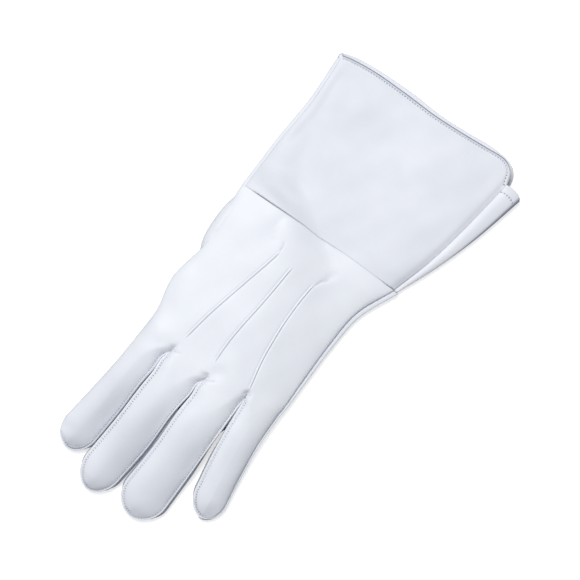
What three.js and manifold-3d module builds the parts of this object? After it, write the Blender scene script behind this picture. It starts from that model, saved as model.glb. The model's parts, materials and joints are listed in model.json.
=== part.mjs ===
// A long cuff leather dress glove for the left hand, palm down, its thumb folded flat under the palm.
// Millimetres, +Z up. +Y runs from the cuff to the fingertips and +X to the thumb side.
// Every piece is a leather wall: a grid of outer points, each paired with its inner point.
// Sections rest on a local floor, and lift() raises that floor where the folded thumb lies under the hand.
import * as THREE from "three";
import { mergeVertices } from "three/addons/utils/BufferGeometryUtils.js";
import Module from "manifold-3d";

const wasm = await Module();
wasm.setup();

// Leather and seams
const WALL = 1.2;
const HEM_WALL = 2.0; // the turned hem is two layers
const SEAM_GAP = 0.4; // between pieces that are sewn edge to edge
const SLIT = 0.4; // between the back and the palm of the hand
const FLANGE = 2.5; // both edges of the outer seam stand out this far

// Section heights above the local floor
const MID = 5.4; // where the back meets the palm
const CROWN = 12.2; // top of the hand and of each finger
const FORK = 4.4; // height of the strips between the fingers
const FORK_SINK = 1.4; // how far such a strip folds in at its middle
const FORK_WEB_ROWS = 2.8; // rows over which its web slopes from the back to the palm
const FORK_ROWS = [0.3, 0.45, 0.7, 1]; // where the web is divided
const HAND_ROUND = 2.7; // superellipse exponent of the hand's section
const FINGER_ROUND = 2.3;
const SEAM_DIP = 1.6; // how far the leather dips into the wrist seam and the gusset seam
const POINT_HEIGHT = 0.9; // the three stitched points on the back

// The folded thumb raises the hand by LIFT along the line from LIFT_FROM to LIFT_TO
const LIFT = 8.0;
const LIFT_FROM = { x: 42, y: 34 };
const LIFT_TO = { x: 0, y: 125 };
const LIFT_FLAT = { from: 27, to: 14.5 }; // distance from the line that is raised in full, at its two ends
const LIFT_REACH = 52; // distance at which nothing is raised

// Grid sizes
const HAND_ROWS = 14;
const STRAIGHT_ROWS = 8;
const CAP_ROWS = 4;
const BACK_COLUMNS = 8; // in each of the four strips
const PALM_COLUMNS = 6;
const WEB_ROWS = 2; // the palm's slits end this many rows nearer to the fingertips
const TIP_ROW = HAND_ROWS + STRAIGHT_ROWS + CAP_ROWS;
const CAP_ROW = HAND_ROWS + STRAIGHT_ROWS;
const KNUCKLE_ROWS = 4; // rows over which the hand's section turns into the fingers'

// Five lines from the wrist seam to the finger slits: the little side, the three points, the index side
const HAND_LINES = [
  { little: [-55.6, -6], ring: [-18, -2.3], middle: [2.2, 1], index: [14.2, 1.7], side: [60.6, 8.3] },
  { little: [-47.6, 20.5], ring: [-15.5, 25.5], middle: [1.9, 27], index: [14.4, 26], side: [57.2, 27] },
  { little: [-48, 46], ring: [-17, 51.5], middle: [1, 53], index: [17.6, 53], side: [52.8, 52] },
  { little: [-51, 75.5], ring: [-22, 78.5], middle: [0.8, 80.5], index: [21, 81.5], side: [54.3, 80] },
  { little: [-53.2, 94], ring: [-27.5, 96.5], middle: [-1.2, 101], index: [22.3, 103], side: [48.2, 101] },
  {
    little: [-53.6, 101.5],
    ring: [-30.5, 105.4],
    middle: [-4.5, 114.3],
    index: [23.3, 115],
    side: [46.6, 113.5],
  },
];
const LINES = ["little", "ring", "middle", "index", "side"];

// Where each stitched point begins and ends along its line, as rows of the hand
const POINTS = [
  { line: 1, from: 2.6, to: 12.4 },
  { line: 2, from: 2.6, to: 12.6 },
  { line: 3, from: 2.2, to: 13.2 },
];

// Left and right edge of each finger at four sections, and its tip
const FINGERS = [
  {
    name: "little",
    left: [[-53.6, 101.5], [-56.5, 124.0], [-61.8, 147.0], [-67.2, 166.5]],
    right: [[-30.5, 105.4], [-34.4, 127.0], [-39.6, 149.0], [-45.2, 168.5]],
    tip: [-59.5, 182.6],
  },
  {
    name: "ring",
    left: [[-30.5, 105.4], [-34.0, 137.0], [-37.4, 166.0], [-40.3, 194.0]],
    right: [[-4.5, 114.3], [-4.9, 140.0], [-8.2, 167.5], [-9.6, 194.0]],
    tip: [-25.5, 211.8],
  },
  {
    name: "middle",
    left: [[-4.5, 114.3], [-3.4, 142.0], [-6.2, 171.0], [-6.6, 199.0]],
    right: [[23.3, 115.0], [23.1, 142.0], [21.0, 171.0], [20.0, 199.0]],
    tip: [5.8, 217.2],
  },
  {
    name: "index",
    left: [[23.3, 115.0], [24.4, 141.0], [22.4, 166.0], [21.3, 190.5]],
    right: [[46.6, 113.5], [45.2, 141.0], [45.2, 167.0], [45.7, 191.0]],
    tip: [32.5, 206.3],
  },
];
const LAST = FINGERS.length - 1;

// Level sections of the thumb's root, from its seam on the back down to the surface.
// z is for the middle of a section, and slope its rise towards the thumb side.
const THUMB_ROOT = [
  { z: 13.9, slope: 0.262, inner: 31.0, outer: 54.6, from: 13, to: 57 },
  { z: 12.2, slope: 0.13, inner: 31.0, outer: 58.4, from: 10, to: 60.5 },
  { z: 8.6, slope: 0, inner: 31.0, outer: 59.5, from: 9, to: 62 },
  { z: 4.0, slope: 0, inner: 31.0, outer: 58.9, from: 9, to: 62 },
  { z: 1.2, slope: 0, inner: 32.5, outer: 57.2, from: 11, to: 60.5 },
  { z: 0, slope: 0, inner: 36.0, outer: 54.5, from: 15, to: 56.5 },
];
const THUMB_SKEW = 3.0; // the root leans in by this much at its finger-ward end, and out at its other end
// Sections of the thumb flat under the palm: its wrist-ward edge and its finger-ward edge
const THUMB_FLAT = [
  { near: [38, 16], far: [46, 61] },
  { near: [29, 28], far: [40, 69] },
  { near: [20, 44], far: [34, 80] },
  { near: [10, 64], far: [29, 94] },
  { near: [1, 84], far: [23, 107] },
  { near: [-6.5, 103], far: [17, 118] },
  { near: [-12, 117], far: [11.5, 128] },
];
const THUMB_TIP = [-6.8, 138.6];
const THUMB_THICK = 7.5;
const THUMB_ROUND = 2.6;
const THUMB_COLUMNS = 20;

// Four sections of the cuff from the wrist seam to the hem: its fold on the little side, the gusset's two
// seams, its fold on the thumb side
const CUFF_LINES = [
  { fold: [-58.0, -6.2], gussetBack: [-55.4, -6.0], gussetPalm: [-55.7, -6.0], side: [60.6, 8.3] },
  { fold: [-66.3, -35.0], gussetBack: [-60.3, -35.0], gussetPalm: [-61.0, -35.0], side: [63.9, -27.0] },
  { fold: [-72.6, -66.0], gussetBack: [-62.5, -67.0], gussetPalm: [-64.0, -67.0], side: [65.4, -60.0] },
  { fold: [-77.1, -102.0], gussetBack: [-63.4, -103.4], gussetPalm: [-65.8, -103.6], side: [70.4, -92.8] },
];
// The two hems, from the gusset round the vent's corner to the thumb side
const HEM_BACK = [
  [-63.4, -103.4], [-59.8, -110.6], [-52.0, -114.2], [-38.0, -111.8], [-20.0, -108.2],
  [0.0, -105.0], [22.0, -103.1], [44.0, -100.5], [60.0, -97.2], [67.8, -94.6],
];
const HEM_PALM = [
  [-65.8, -103.6], [-63.0, -111.2], [-56.0, -115.8], [-42.0, -115.7], [-24.0, -112.2],
  [-4.0, -108.8], [18.0, -107.4], [42.0, -104.2], [60.0, -100.2], [70.4, -95.2],
];
const CUFF_SEAM_INSET = 2.4; // the thumb side seam lies this far inside the fold, on the back
const CUFF_ROWS = 9;
const CUFF_COLUMNS = 18;
const GUSSET_COLUMNS = 4; // on each side of its fold
const CUFF_ROUND = 2.7;
const CUFF_CROWN_AT_HEM = 14.2;
const CUFF_MID_AT_HEM = 6.4;
const CUFF_FLAT = 0.5; // share of the palm side's half width that lies flat on the surface

const lerp = (a, b, t) => a + (b - a) * t;
const mix = (p, q, t) => p.map((value, i) => lerp(value, q[i], t));
const clamp01 = (t) => Math.min(1, Math.max(0, t));
const smooth = (t) => clamp01(t) ** 2 * (3 - 2 * clamp01(t));
const range = (count) => Array.from({ length: count }, (_, i) => i);
const radians = THREE.MathUtils.degToRad;

// Catmull-Rom curve through plan points, t from 0 to 1 with equal shares for the spans
function curve(points, t) {
  const span = Math.min(points.length - 2, Math.max(0, Math.floor(t * (points.length - 1))));
  const u = t * (points.length - 1) - span;
  const at = (i) => {
    if (i < 0) return points[0].map((value, d) => 2 * value - points[1][d]);
    if (i >= points.length) return points.at(-1).map((value, d) => 2 * value - points.at(-2)[d]);
    return points[i];
  };
  const [a, b, c, d] = [at(span - 1), at(span), at(span + 1), at(span + 2)];
  return b.map((value, i) => {
    const slope = (c[i] - a[i]) / 2;
    const nextSlope = (d[i] - value) / 2;
    const cubic = 2 * value - 2 * c[i] + slope + nextSlope;
    const square = 3 * c[i] - 3 * value - 2 * slope - nextSlope;
    return value + slope * u + square * u ** 2 + cubic * u ** 3;
  });
}

// Height of a superellipse over its width, x from -1 to 1
const dome = (x, exponent) => Math.max(0, 1 - Math.abs(x) ** exponent) ** (1 / exponent);
// The same, flat on top over a share of its width
const flatDome = (x, exponent, flat) => dome(Math.max(0, (Math.abs(x) - flat) / (1 - flat)), exponent);
// Column positions from -1 to 1, closer together at the edges
const spread = (column, columns) => -Math.cos((Math.PI * column) / columns);

function lift(x, y) {
  const dx = LIFT_TO.x - LIFT_FROM.x;
  const dy = LIFT_TO.y - LIFT_FROM.y;
  const along = clamp01(((x - LIFT_FROM.x) * dx + (y - LIFT_FROM.y) * dy) / (dx * dx + dy * dy));
  const distance = Math.hypot(x - LIFT_FROM.x - along * dx, y - LIFT_FROM.y - along * dy);
  const flat = lerp(LIFT_FLAT.from, LIFT_FLAT.to, along);
  return LIFT * (1 - smooth((distance - flat) / (LIFT_REACH - flat)));
}
// Everything but the thumb is shaped on the local floor and raised once it is whole
function raised(geometry) {
  const { array } = geometry.attributes.position;
  for (let i = 0; i < array.length; i += 3) array[i + 2] += lift(array[i], array[i + 1]);
  return geometry;
}

// A wall: welded outer points, each with its inner point, and triangles that face out
class Wall {
  constructor() {
    this.outer = [];
    this.inner = [];
    this.triangles = [];
    this.known = new Map();
  }
  vertex([outer, inner]) {
    const key = outer.map((value) => value.toFixed(3)).join();
    if (!this.known.has(key)) {
      this.known.set(key, this.outer.length);
      this.outer.push(outer);
      this.inner.push(inner);
    }
    return this.known.get(key);
  }
  // rows[i][j] is [outer, inner]. Faces look towards you where i runs up and j runs to the right.
  grid(rows, turned = false) {
    for (let i = 0; i + 1 < rows.length; i++)
      for (let j = 0; j + 1 < rows[i].length; j++) {
        const around = [rows[i][j], rows[i][j + 1], rows[i + 1][j + 1], rows[i + 1][j]];
        const corners = around.map((p) => this.vertex(p));
        if (turned) corners.reverse();
        for (const [a, b, c] of [[0, 1, 2], [0, 2, 3]].map((t) => t.map((n) => corners[n])))
          if (a !== b && b !== c && c !== a) this.triangles.push([a, b, c]);
      }
  }
  geometry() {
    const count = this.outer.length;
    const open = new Map();
    for (const [a, b, c] of this.triangles)
      for (const [from, to] of [[a, b], [b, c], [c, a]])
        if (!open.delete(`${to},${from}`)) open.set(`${from},${to}`, [from, to]);
    const inside = this.triangles.map(([a, b, c]) => [c + count, b + count, a + count]);
    const rim = [...open.values()].flatMap(([a, b]) => [[b, a, a + count], [b, a + count, b + count]]);
    const made = new THREE.BufferGeometry();
    const points = [...this.outer, ...this.inner].flat();
    made.setAttribute("position", new THREE.Float32BufferAttribute(points, 3));
    made.setIndex([...this.triangles, ...inside, ...rim].flat());
    return raised(made);
  }
  // Sets each inner point inside its outer point. Until then the second of each pair gives the depth, and
  // limits to z.
  thicken() {
    const sheet = new THREE.BufferGeometry();
    sheet.setAttribute("position", new THREE.Float32BufferAttribute(this.outer.flat(), 3));
    sheet.setIndex(this.triangles.flat());
    sheet.computeVertexNormals();
    const normal = sheet.attributes.normal.array;
    this.inner = this.inner.map(({ depth, low = -Infinity, high = Infinity }, i) => {
      const [x, y, z] = this.outer[i].map((value, d) => value - depth * normal[3 * i + d]);
      return [x, y, Math.min(high, Math.max(low, z))];
    });
  }
}

// Each vertex moved along its normal
function offset(geometry, distance) {
  geometry.computeVertexNormals();
  const { position, normal } = geometry.attributes;
  position.array.forEach((value, i) => {
    position.array[i] = value + distance * normal.array[i];
  });
  return geometry;
}

// Plan point of hand line number `line` at a row of the hand
const handLine = (line, row) => curve(HAND_LINES.map((station) => station[LINES[line]]), row / HAND_ROWS);

// Shape of finger k at a row from HAND_ROWS to TIP_ROW: its edges in plan, and cap, 1 along the finger and 0
// at the tip
function fingerSection(k, row, inset = 0) {
  const finger = FINGERS[k];
  const straight = clamp01((row - HAND_ROWS) / STRAIGHT_ROWS);
  const left = curve(finger.left, straight);
  const right = curve(finger.right, straight);
  if (row <= CAP_ROW) return { left, right, cap: 1 };
  const turn = radians(90 * Math.min(1, (row - CAP_ROW) / CAP_ROWS));
  const root = mix(left, right, 0.5);
  const length = Math.hypot(finger.tip[0] - root[0], finger.tip[1] - root[1]);
  const centre = mix(root, finger.tip, Math.sin(turn) * (1 - inset / length));
  const offset = left.map((value, i) => (value - root[i]) * Math.cos(turn));
  return {
    left: centre.map((value, i) => value + offset[i]),
    right: centre.map((value, i) => value - offset[i]),
    cap: Math.cos(turn),
  };
}

// Height of a finger's seam above or below MID: half of the fork, which ends before the tip
const seamHeight = (cap) => SLIT / 2 + (FORK / 2) * Math.max(0, Math.cos(1.5 * Math.acos(cap)));

// Plan edges of strip k at any row: part of the hand up to `slitRow`, a finger past it
function stripEdges(k, row, slitRow, inset) {
  if (row <= HAND_ROWS) return { left: handLine(k, row), right: handLine(k + 1, row), cap: 1 };
  const own = fingerSection(k, row, inset);
  if (row <= slitRow) {
    if (k > 0) own.left = mix(own.left, fingerSection(k - 1, row).right, 0.5);
    if (k < LAST) own.right = mix(own.right, fingerSection(k + 1, row).left, 0.5);
  }
  return own;
}

// One point of the hand and fingers. v runs across strip k from -1 to 1, side is 1 on the back and -1 on the
// palm, and depth is 0 for the outer surface and WALL for the inner one.
function handPoint(k, row, v, side, depth) {
  const slitRow = side > 0 ? HAND_ROWS : HAND_ROWS + WEB_ROWS;
  const { left, right, cap } = stripEdges(k, row, slitRow, depth);
  const rise = side > 0 ? CROWN - MID : MID;
  const full = dome(v, FINGER_ROUND);
  const across = (1 + v) / 2;

  // as part of the hand
  const [handLeft, handRight] = [0, LAST].map((n) => {
    const edges = stripEdges(n, row, slitRow, 0);
    return n ? edges.right[0] : edges.left[0];
  });
  const half = (handRight - handLeft) / 2;
  const plan = mix(left, right, across);
  const place = (plan[0] - handLeft) / half - 1;
  const wristDip = SEAM_DIP * (1 - smooth(row / 2)) * (side > 0 ? 1 : 0);
  const littleBase = (SLIT / 2 + WALL - depth) * clamp01((1 - place) / 2) ** 6;
  const sideBase = littleBase + (SLIT / 2) * clamp01((1 + place) / 2) ** 6;
  const handHeight = sideBase + (rise - depth - wristDip - sideBase) * dome(place, HAND_ROUND);
  const handX = plan[0] - place * depth;

  // as part of its finger
  const seam = seamHeight(cap);
  const outerEdge = (SLIT / 2 + WALL - depth) * cap + (SLIT / 2) * (1 - cap);
  const leftBase = k === 0 ? outerEdge : seam;
  const rightBase = k === LAST ? SLIT / 2 : seam;
  const base = lerp(leftBase, rightBase, across);
  const middleBase = (leftBase + rightBase) / 2;
  // up to the slit the leather is one sheet
  const valley = row < slitRow ? depth : row > slitRow ? 0 : depth / 2;
  const fold = k === 0 ? (1 + v) / 2 : k === LAST ? (1 - v) / 2 : Math.abs(v);
  const arch = base - valley * fold ** 4 + (rise - depth - middleBase) * cap * full;
  const fingerHeight = Math.min(arch, rise - depth);
  const width = Math.hypot(right[0] - left[0], right[1] - left[1]);
  const pull = width > 2 * depth ? (v * depth) / width : 0;
  const shrink = row > slitRow ? pull * (row > CAP_ROW ? cap : 1) : 0;
  const outerPull = row <= slitRow && ((k === 0 && v < 0) || (k === LAST && v > 0)) ? pull : 0;
  const fingerPlan = mix(left, right, across - shrink - outerPull);

  const share = smooth((row - (slitRow - KNUCKLE_ROWS)) / KNUCKLE_ROWS);
  const x = lerp(handX, fingerPlan[0], share);
  const y = lerp(plan[1], fingerPlan[1], share) - (row === slitRow ? depth * 0.8 * fold ** 8 : 0);
  let height = lerp(handHeight, fingerHeight, share);
  if (side > 0 && depth === 0 && Math.abs(v) === 1) height += pointRise(v < 0 ? k : k + 1, row);
  return [x, y, MID + side * height];
}

function pointRise(line, row) {
  const point = POINTS.find((p) => p.line === line);
  return point ? POINT_HEIGHT * smooth(row - point.from) * smooth(point.to - row) : 0;
}

// The back (side 1) or the palm (side -1) of the hand and its fingers, with the strip that stands out at the
// outer seam
function makeHand(side) {
  const wall = new Wall();
  const columns = side > 0 ? BACK_COLUMNS : PALM_COLUMNS;
  for (const k of range(LAST + 1))
    wall.grid(
      range(TIP_ROW + 1).map((row) =>
        range(columns + 1).map((j) => {
          const v = spread(j, columns);
          return [0, WALL].map((depth) => handPoint(k, row, v, side, depth));
        }),
      ),
      side < 0,
    );
  wall.grid(
    range(TIP_ROW + 1).map((row) => {
      const edge = [0, WALL].map((depth) => handPoint(0, row, -1, side, depth));
      const reach = FLANGE * (row > CAP_ROW ? stripEdges(0, row, HAND_ROWS, 0).cap : 1);
      return [edge.map(([, y, z]) => [edge[0][0] - reach, y, z]), edge];
    }),
    side < 0,
  );
  return wall.geometry();
}

// Fork between finger k and finger k + 1: two wings that fold in a little, joined by a web that slopes down from
// the back to the palm
function makeFork(k) {
  const wall = new Wall();
  const wing = (finger, side, row) => {
    const { left, right, cap } = fingerSection(finger, row);
    const [edge, far] = side < 0 ? [left, right] : [right, left];
    const width = Math.hypot(far[0] - edge[0], far[1] - edge[1]);
    const tall = 2 * (seamHeight(cap) - SEAM_GAP);
    const deep = tall * clamp01((row - HAND_ROWS) / FORK_WEB_ROWS) ** 2;
    return [0, 0.5, 1].map((down) => {
      const sink = 0.15 + FORK_SINK * Math.sin(Math.PI * down) * (deep / FORK);
      const limits = { depth: WALL, low: MID - tall / 2, high: MID + tall / 2 };
      return [[...mix(edge, far, sink / width), MID + tall / 2 - deep * down], limits];
    });
  };
  // Rows from the web to where the fork's height runs out
  const webRows = FORK_ROWS.map((share) => HAND_ROWS + share * FORK_WEB_ROWS);
  const first = Math.ceil(webRows.at(-1));
  const rows = [...webRows, ...range(CAP_ROW + 3 - first).map((i) => first + i)];
  wall.grid(rows.map((row) => wing(k, 1, row)));
  wall.grid(rows.map((row) => wing(k + 1, -1, row).reverse()));
  wall.grid(webRows.map((row) => [wing(k, 1, row)[2], wing(k + 1, -1, row)[2]]));
  wall.thicken();
  return wall.geometry();
}

// Closed solid of the thumb, grown by `grow` past its outer surface, or shrunk if it is negative
function thumbSolid(grow) {
  const rounded = (t) => Math.sign(t) * Math.abs(t) ** (2 / THUMB_ROUND);
  const ring = (centre, across, through) =>
    range(THUMB_COLUMNS).map((i) => {
      const angle = (2 * Math.PI * i) / THUMB_COLUMNS;
      const [c, s] = [rounded(Math.cos(angle)), rounded(Math.sin(angle))];
      return centre.map((value, d) => value + across[d] * c + through[d] * s);
    });
  const root = THUMB_ROOT.map(({ z, slope, inner, outer, from, to }) => {
    const half = (outer - inner) / 2;
    const along = [-THUMB_SKEW, (to - from) / 2, -THUMB_SKEW * slope];
    return ring([inner + half, (from + to) / 2, z], along, [half, 0, half * slope]);
  });
  const half = THUMB_THICK / 2;
  const middleOf = ({ near, far }) => [...mix(near, far, 0.5), half];
  const halfWidth = ({ near, far }) => [(far[0] - near[0]) / 2, (far[1] - near[1]) / 2, 0];
  const flat = THUMB_FLAT.map((section) => ring(middleOf(section), halfWidth(section), [0, 0, -half]));
  const end = THUMB_FLAT.at(-1);
  const cap = range(CAP_ROWS - 1).map((i) => {
    const turn = radians((90 * (i + 1)) / CAP_ROWS);
    const centre = [...mix(mix(end.near, end.far, 0.5), THUMB_TIP, Math.sin(turn)), half];
    const across = halfWidth(end).map((value) => value * Math.cos(turn));
    return ring(centre, across, [0, 0, -half * Math.cos(turn)]);
  });
  const tubes = [tubeGeometry(root), tubeGeometry([...flat, ...cap], [...THUMB_TIP, half])];
  return tubes.map((tube) => solid(offset(tube, grow))).reduce((a, b) => a.add(b));
}

// Rings joined into a tube, closed flat at its first ring and at a point past its last
function tubeGeometry(rings, tip) {
  const count = rings[0].length;
  const middle = (ring) => range(3).map((d) => ring.reduce((sum, p) => sum + p[d], 0) / count);
  const positions = [...rings.flat(), middle(rings[0]), tip ?? middle(rings.at(-1))];
  const [first, last] = [positions.length - 2, positions.length - 1];
  const faces = [];
  for (const j of range(count)) {
    const next = (j + 1) % count;
    faces.push([first, next, j]);
    for (const i of range(rings.length - 1)) {
      const [a, b, c, d] = [i * count + j, i * count + next, (i + 1) * count + next, (i + 1) * count + j];
      faces.push([a, b, c], [a, c, d]);
    }
    faces.push([(rings.length - 1) * count + j, (rings.length - 1) * count + next, last]);
  }
  const made = new THREE.BufferGeometry();
  made.setAttribute("position", new THREE.Float32BufferAttribute(positions.flat(), 3));
  made.setIndex(faces.flat());
  return made;
}

// The hollow of the hand, or the whole hand if depth is 0, as a closed solid
function handSolid(depth) {
  const rows = range(HAND_ROWS + 1 - KNUCKLE_ROWS);
  const rings = rows.map((row) => {
    const across = (side, columns) =>
      range(LAST + 1).flatMap((k) =>
        range(columns).map((j) => handPoint(k, row, spread(j, columns), side, depth)),
      );
    const over = [...across(1, BACK_COLUMNS), handPoint(LAST, row, 1, 1, depth)];
    const under = [...across(-1, PALM_COLUMNS), handPoint(LAST, row, 1, -1, depth)];
    return [...over, ...under.reverse()];
  });
  return solid(raised(tubeGeometry(rings)));
}

function solid(geometry) {
  const bare = new THREE.BufferGeometry();
  bare.setAttribute("position", geometry.getAttribute("position"));
  bare.setIndex(geometry.index);
  const merged = mergeVertices(bare, 1e-4);
  const vertProperties = merged.attributes.position.array;
  const triVerts = new Uint32Array(merged.index.array);
  return new wasm.Manifold(new wasm.Mesh({ numProp: 3, vertProperties, triVerts }));
}

function fromSolid(made) {
  const mesh = made.getMesh();
  const geometry = new THREE.BufferGeometry();
  geometry.setAttribute("position", new THREE.Float32BufferAttribute(mesh.vertProperties, 3));
  geometry.setIndex(Array.from(mesh.triVerts));
  return geometry;
}

// Height of the cuff above the local floor at row u and x, on the back (side 1) or the palm (side -1)
function cuffHeight(u, x, side) {
  const [left, right] = [cuffLine("fold", u)[0], cuffLine("side", u)[0]];
  const place = Math.max(-1, Math.min(1, (2 * (x - left)) / (right - left) - 1));
  const mid = lerp(MID, CUFF_MID_AT_HEM, u);
  const crown = lerp(CROWN, CUFF_CROWN_AT_HEM, u) - SEAM_DIP * (1 - smooth(u * 4));
  if (side > 0) return mid + (crown - mid) * dome(place, CUFF_ROUND);
  return mid - mid * flatDome(place, CUFF_ROUND, CUFF_FLAT);
}
const cuffLine = (name, u) => curve(CUFF_LINES.map((station) => station[name]), u);

// y of the wrist seam at x, straight between the hand's lines
function wristY(x) {
  const row = LINES.map((name) => HAND_LINES[0][name]);
  const next = row.findIndex((p) => p[0] >= x);
  if (next <= 0) return next < 0 ? row.at(-1)[1] : row[0][1];
  return lerp(row[next - 1][1], row[next][1], (x - row[next - 1][0]) / (row[next][0] - row[next - 1][0]));
}

// Patch between two lines of the cuff: u from the wrist seam to the hem, c from line to line
function cuffPlan(from, to, hem, u, c) {
  const [a, b] = [from(u), to(u)];
  const wrist = (t) => {
    const x = lerp(from(0)[0], to(0)[0], t);
    return [x, wristY(x) - SEAM_GAP];
  };
  const hemAt = (t) => {
    if (!hem) return mix(from(1), to(1), t);
    const [x, y] = curve(hem, t);
    return [x + lerp(from(1)[0] - hem[0][0], to(1)[0] - hem.at(-1)[0], t), y];
  };
  const [top, bottom] = [wrist(c), hemAt(c)];
  return a.map(
    (value, d) =>
      lerp(value, b[d], c) +
      (1 - u) * (top[d] - lerp(from(0)[d], to(0)[d], c)) +
      u * (bottom[d] - lerp(from(1)[d], to(1)[d], c)),
  );
}

const shifted = (name, by) => (u) => {
  const [x, y] = cuffLine(name, u);
  return [x + by, y];
};

// Wall depth at a row of the cuff: the turned hem is thicker
const cuffWall = (u) => lerp(WALL, HEM_WALL, smooth((u - 0.9) * 12));

// Outer point of the cuff over a plan point, with the depth of its wall
function cuffPoint(u, [x, y], side, dip = 0) {
  return [[x, y, cuffHeight(u, x, side) - dip], { depth: cuffWall(u) }];
}

// The leather dips towards the gusset's seam on the back
const gussetDip = (distance) => SEAM_DIP * Math.exp(-((distance / 4) ** 2));

function makeCuffBack() {
  const wall = new Wall();
  const seam = shifted("side", -CUFF_SEAM_INSET - SEAM_GAP / 2);
  const edge = shifted("gussetBack", SEAM_GAP / 2);
  wall.grid(
    range(CUFF_ROWS + 1)
      .reverse()
      .map((i) => i / CUFF_ROWS)
      .map((u) =>
        range(CUFF_COLUMNS + 1).map((j) => {
          const plan = cuffPlan(edge, seam, HEM_BACK, u, (1 + spread(j, CUFF_COLUMNS)) / 2);
          return cuffPoint(u, plan, 1, gussetDip(plan[0] - edge(u)[0]) * (1 - 0.5 * u));
        }),
      ),
  );
  wall.thicken();
  return wall.geometry();
}

function makeCuffPalm() {
  const wall = new Wall();
  const edge = shifted("gussetPalm", SEAM_GAP / 2);
  const side = shifted("side", 0);
  const rows = range(CUFF_ROWS + 1)
    .reverse()
    .map((i) => i / CUFF_ROWS);
  wall.grid(
    rows.map((u) =>
      range(CUFF_COLUMNS + 1).map((j) => {
        const plan = cuffPlan(edge, side, HEM_PALM, u, (1 + spread(j, CUFF_COLUMNS)) / 2);
        return cuffPoint(u, plan, -1);
      }),
    ),
    true,
  );
  // round the thumb side fold to the seam on the back
  wall.grid(
    rows.map((u) =>
      [0, 0.4, 0.8, 1].map((share) => {
        const [x, y] = cuffPlan(edge, side, HEM_PALM, u, 1);
        const inset = (CUFF_SEAM_INSET - SEAM_GAP / 2) * (1 - share ** 2);
        const along = (1 - u) * (wristY(x - inset) - wristY(x));
        return cuffPoint(u, [x - inset, y + along], share === 1 ? -1 : 1);
      }),
    ),
  );
  wall.thicken();
  return wall.geometry();
}

function makeGusset() {
  const wall = new Wall();
  const back = shifted("gussetBack", -SEAM_GAP / 2);
  const palm = shifted("gussetPalm", -SEAM_GAP / 2);
  const fold = shifted("fold", 0);
  const turn = (j) => Math.sin((Math.PI / 2) * (j / GUSSET_COLUMNS));
  wall.grid(
    range(CUFF_ROWS + 1)
      .reverse()
      .map((i) => i / CUFF_ROWS)
      .map((u) => {
        const under = range(GUSSET_COLUMNS + 1).map((j) => {
          const plan = cuffPlan(palm, fold, null, u, turn(j));
          return cuffPoint(u, plan, -1);
        });
        const over = range(GUSSET_COLUMNS + 1).map((j) => {
          const plan = cuffPlan(back, fold, null, u, turn(j));
          return cuffPoint(u, plan, 1, gussetDip(back(u)[0] - plan[0]) * (1 - 0.5 * u) * (1 - turn(j)));
        });
        return [...under, ...over.reverse().slice(1)];
      }),
  );
  wall.thicken();
  return wall.geometry();
}

const leather = (color) => new THREE.MeshStandardMaterial({ color, roughness: 0.55, metalness: 0 });
function piece(name, geometry, color) {
  const mesh = new THREE.Mesh(geometry, leather(color));
  mesh.name = name;
  return mesh;
}

const thumbHole = thumbSolid(SEAM_GAP);
const thumb = thumbSolid(0).subtract(thumbSolid(-WALL)).subtract(handSolid(WALL));
const handBack = solid(makeHand(1)).subtract(thumbHole);
const handPalm = solid(makeHand(-1)).subtract(thumbHole);

const glove = new THREE.Group();
glove.add(
  piece("hand_back", fromSolid(handBack), "#e9ebf0"),
  piece("hand_palm", fromSolid(handPalm), "#e6e8ee"),
  piece("fork_index_middle", makeFork(2), "#e2e5ec"),
  piece("fork_middle_ring", makeFork(1), "#e2e5ec"),
  piece("fork_ring_little", makeFork(0), "#e2e5ec"),
  piece("thumb", fromSolid(thumb), "#e9ebf0"),
  piece("cuff_back", makeCuffBack(), "#eceef2"),
  piece("cuff_palm", makeCuffPalm(), "#e6e8ee"),
  piece("cuff_gusset", makeGusset(), "#e9ebf0"),
);

// The origin is the centre of the bounding box's underside
const box = new THREE.Box3().setFromObject(glove);
const middle = box.getCenter(new THREE.Vector3());
glove.children.forEach((mesh) => mesh.position.set(-middle.x, -middle.y, -box.min.z));

export default glove;
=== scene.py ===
import json
import math

import bpy
import numpy as np
from mathutils import Matrix, Vector
from mathutils.bvhtree import BVHTree

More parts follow.
